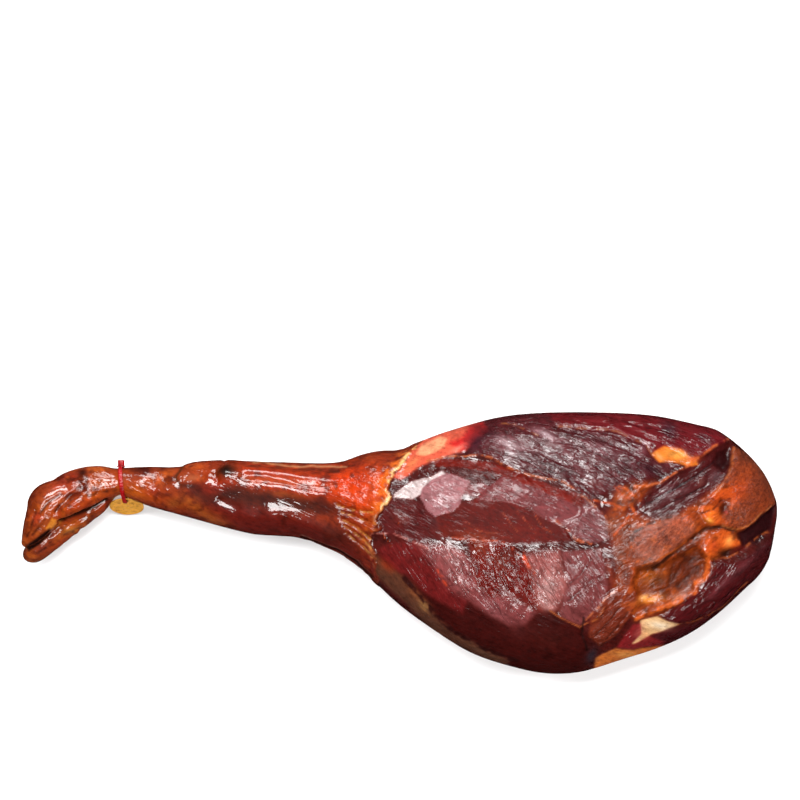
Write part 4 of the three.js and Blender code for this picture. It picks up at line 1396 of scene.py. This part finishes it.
# Share of the radius and height above the middle plane, from the middle of the tag outwards.
TAG_ROWS = [
    (0.2, 0.5), (0.24, 0.62), (0.28, 0.62), (0.31, 0.5), (0.5, 0.5), (0.68, 0.5), (0.71, 0.6),
    (0.74, 0.6), (0.77, 0.46), (0.89, 0.46), (0.915, 0.82), (0.97, 0.82), (1, 0.5),
]
BEADED_ROW, FLUTED_ROW = 0.89, 0.5


def tag_disc(sides=180, beads=60, flutes=24):
    rings = []
    turn = np.arange(sides) / sides * 2 * np.pi
    for sign, order in ((1, TAG_ROWS), (-1, TAG_ROWS[::-1])):
        for share, height in order:
            level = np.full(sides, height)
            if share == BEADED_ROW:
                level = level + 0.22 * (np.cos(turn * beads) > 0)
            if share == FLUTED_ROW:
                level = level + 0.12 * np.cos(turn * flutes)
            edge = share * TAG_RADIUS
            rings.append(np.column_stack([
                edge * np.cos(turn), edge * np.sin(turn), sign * level * TAG_THICKNESS,
            ]))
    return loft(rings[::-1])


def tag_piece():
    piece = new_object("gold_tag_stamped", *tag_disc())
    sides = 48
    turn = np.arange(sides) / sides * 2 * np.pi
    circle = np.column_stack([
        HOLE_RADIUS * np.cos(turn), HOLE_RADIUS * np.sin(turn) + HOLE_TO_MIDDLE, np.zeros(sides),
    ])
    reach = (0, 0, 5 * MM)
    drill = new_object("drill", *loft([circle - reach, circle + reach]))
    cut = piece.modifiers.new("hole", "BOOLEAN")
    cut.operation = "DIFFERENCE"
    cut.object = drill
    apply_modifiers(piece)
    bpy.data.objects.remove(drill)
    points = vertex_array(piece) - (0, HOLE_TO_MIDDLE, 0)
    c, s = math.cos(TAG_LEAN), math.sin(TAG_LEAN)
    leaning = np.column_stack([
        points[:, 0], points[:, 1] * c - points[:, 2] * s, points[:, 1] * s + points[:, 2] * c,
    ])
    hook = SEAL_MIDDLE + (-HANG[0] / REACH_Y * STRAP_LEAN / 2, HANG[0], HANG[1])
    set_vertices(piece, leaning + hook)
    return piece


def tag_material():
    m = Material("gold_tag_metal")
    place = m.turned(0, 1)
    tarnish = m.noise(place, 4, 4, 0.6)
    brushed = m.noise(m.turned(0, 12), 0.4, 3)
    colour = m.mix(m.spread(tarnish, 0.45, 0.75), srgb(248, 176, 66), srgb(186, 108, 34))
    height = m.plus(m.times(brushed, 0.1), m.times(tarnish, 0.3))
    return m.finish(
        Base_Color=colour, Metallic=0.3, Roughness=m.spread(brushed, 0.3, 0.7, 0.22, 0.42),
        Normal=m.bump(height, 0.4 * MM), Coat_Weight=0.3, Coat_Roughness=0.15,
    )


# ---------------------------------------------------------------- pieces
def place_piece(piece, node, material):
    piece.data.materials.clear()
    piece.data.materials.append(material)
    piece.data.shade_smooth()
    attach(piece, "root")
    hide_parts(node)


ham = ham_base()
surface = Face(ham)
shape_face(surface)
finish_face(surface)
place_piece(ham, "ham", ham_material())
seal = joined("red_pull_tight_seal", [strap()] + seal_head())
place_piece(seal, "ankle_seal", seal_material())
place_piece(tag_piece(), "gold_tag", tag_material())


# ---------------------------------------------------------------- stage
# Everything here is in metres round the part's origin.
AIM = (0.02, 0.02, 0.04)
# Name, place, size, power and whether the gloss mirrors it.
SOFT_BOXES = [
    ("top", (-0.15, 0.72, 1.9), (1.0, 0.6), 42, True),
    ("back", (0.1, 1.6, 1.2), (1.5, 0.45), 32, True),
    ("top_front", (0.15, -0.5, 1.9), (1.0, 0.4), 20, True),
    ("left", (-1.4, 0.4, 1.3), (0.3, 1.0), 12, False),
    ("right", (1.5, 0.1, 1.3), (0.3, 1.0), 10, False),
    ("front", (0.0, -1.7, 1.3), (1.5, 0.35), 12, False),
]
WORLD_LIGHT = 0.06
FLOOR_REACH = 4
SENSOR_WIDTH = 36
LENS = 110.7
CAMERA_HEIGHT = 2.4
# How far the middle of the view lies from the middle of the footprint.
VIEW_MIDDLE = (0.001, 0.137)


def soft_box(name, place, size, power, mirrored):
    light = bpy.data.lights.new(name, "AREA")
    light.shape = "RECTANGLE"
    light.size, light.size_y = size
    light.energy = power
    lamp = bpy.data.objects.new(name, light)
    lamp.visible_glossy = mirrored
    lamp.location = place
    lamp.rotation_euler = (Vector(AIM) - Vector(place)).to_track_quat("-Z", "Y").to_euler()
    bpy.context.scene.collection.objects.link(lamp)


def make_camera():
    data = bpy.data.cameras.new("camera")
    data.sensor_width = SENSOR_WIDTH
    data.lens = LENS
    camera = bpy.data.objects.new("camera", data)
    middle = (ham_low + ham_high) / 2
    camera.location = (middle[0] + VIEW_MIDDLE[0], middle[1] + VIEW_MIDDLE[1], CAMERA_HEIGHT)
    camera.rotation_euler = (0, 0, 0)
    bpy.context.scene.collection.objects.link(camera)
    bpy.context.scene.camera = camera


def make_floor():
    corners = [(x * FLOOR_REACH, y * FLOOR_REACH, 0) for x, y in ((-1, -1), (1, -1), (1, 1), (-1, 1))]
    floor = new_object("floor", corners, [(0, 1, 2, 3)])
    material = bpy.data.materials.new("pale_floor")
    material.use_nodes = True
    shader = material.node_tree.nodes["Principled BSDF"]
    shader.inputs["Base Color"].default_value = (0.93, 0.93, 0.93, 1)
    shader.inputs["Roughness"].default_value = 0.9
    floor.data.materials.append(material)
    floor.visible_glossy = False


def make_world():
    world = bpy.data.worlds.new("studio")
    world.use_nodes = True
    background = world.node_tree.nodes["Background"]
    background.inputs[0].default_value = (1, 1, 1, 1)
    background.inputs[1].default_value = WORLD_LIGHT
    world.cycles_visibility.glossy = False
    bpy.context.scene.world = world


make_camera()
make_floor()
for settings in SOFT_BOXES:
    soft_box(*settings)
make_world()
bpy.context.scene.view_settings.view_transform = "Standard"
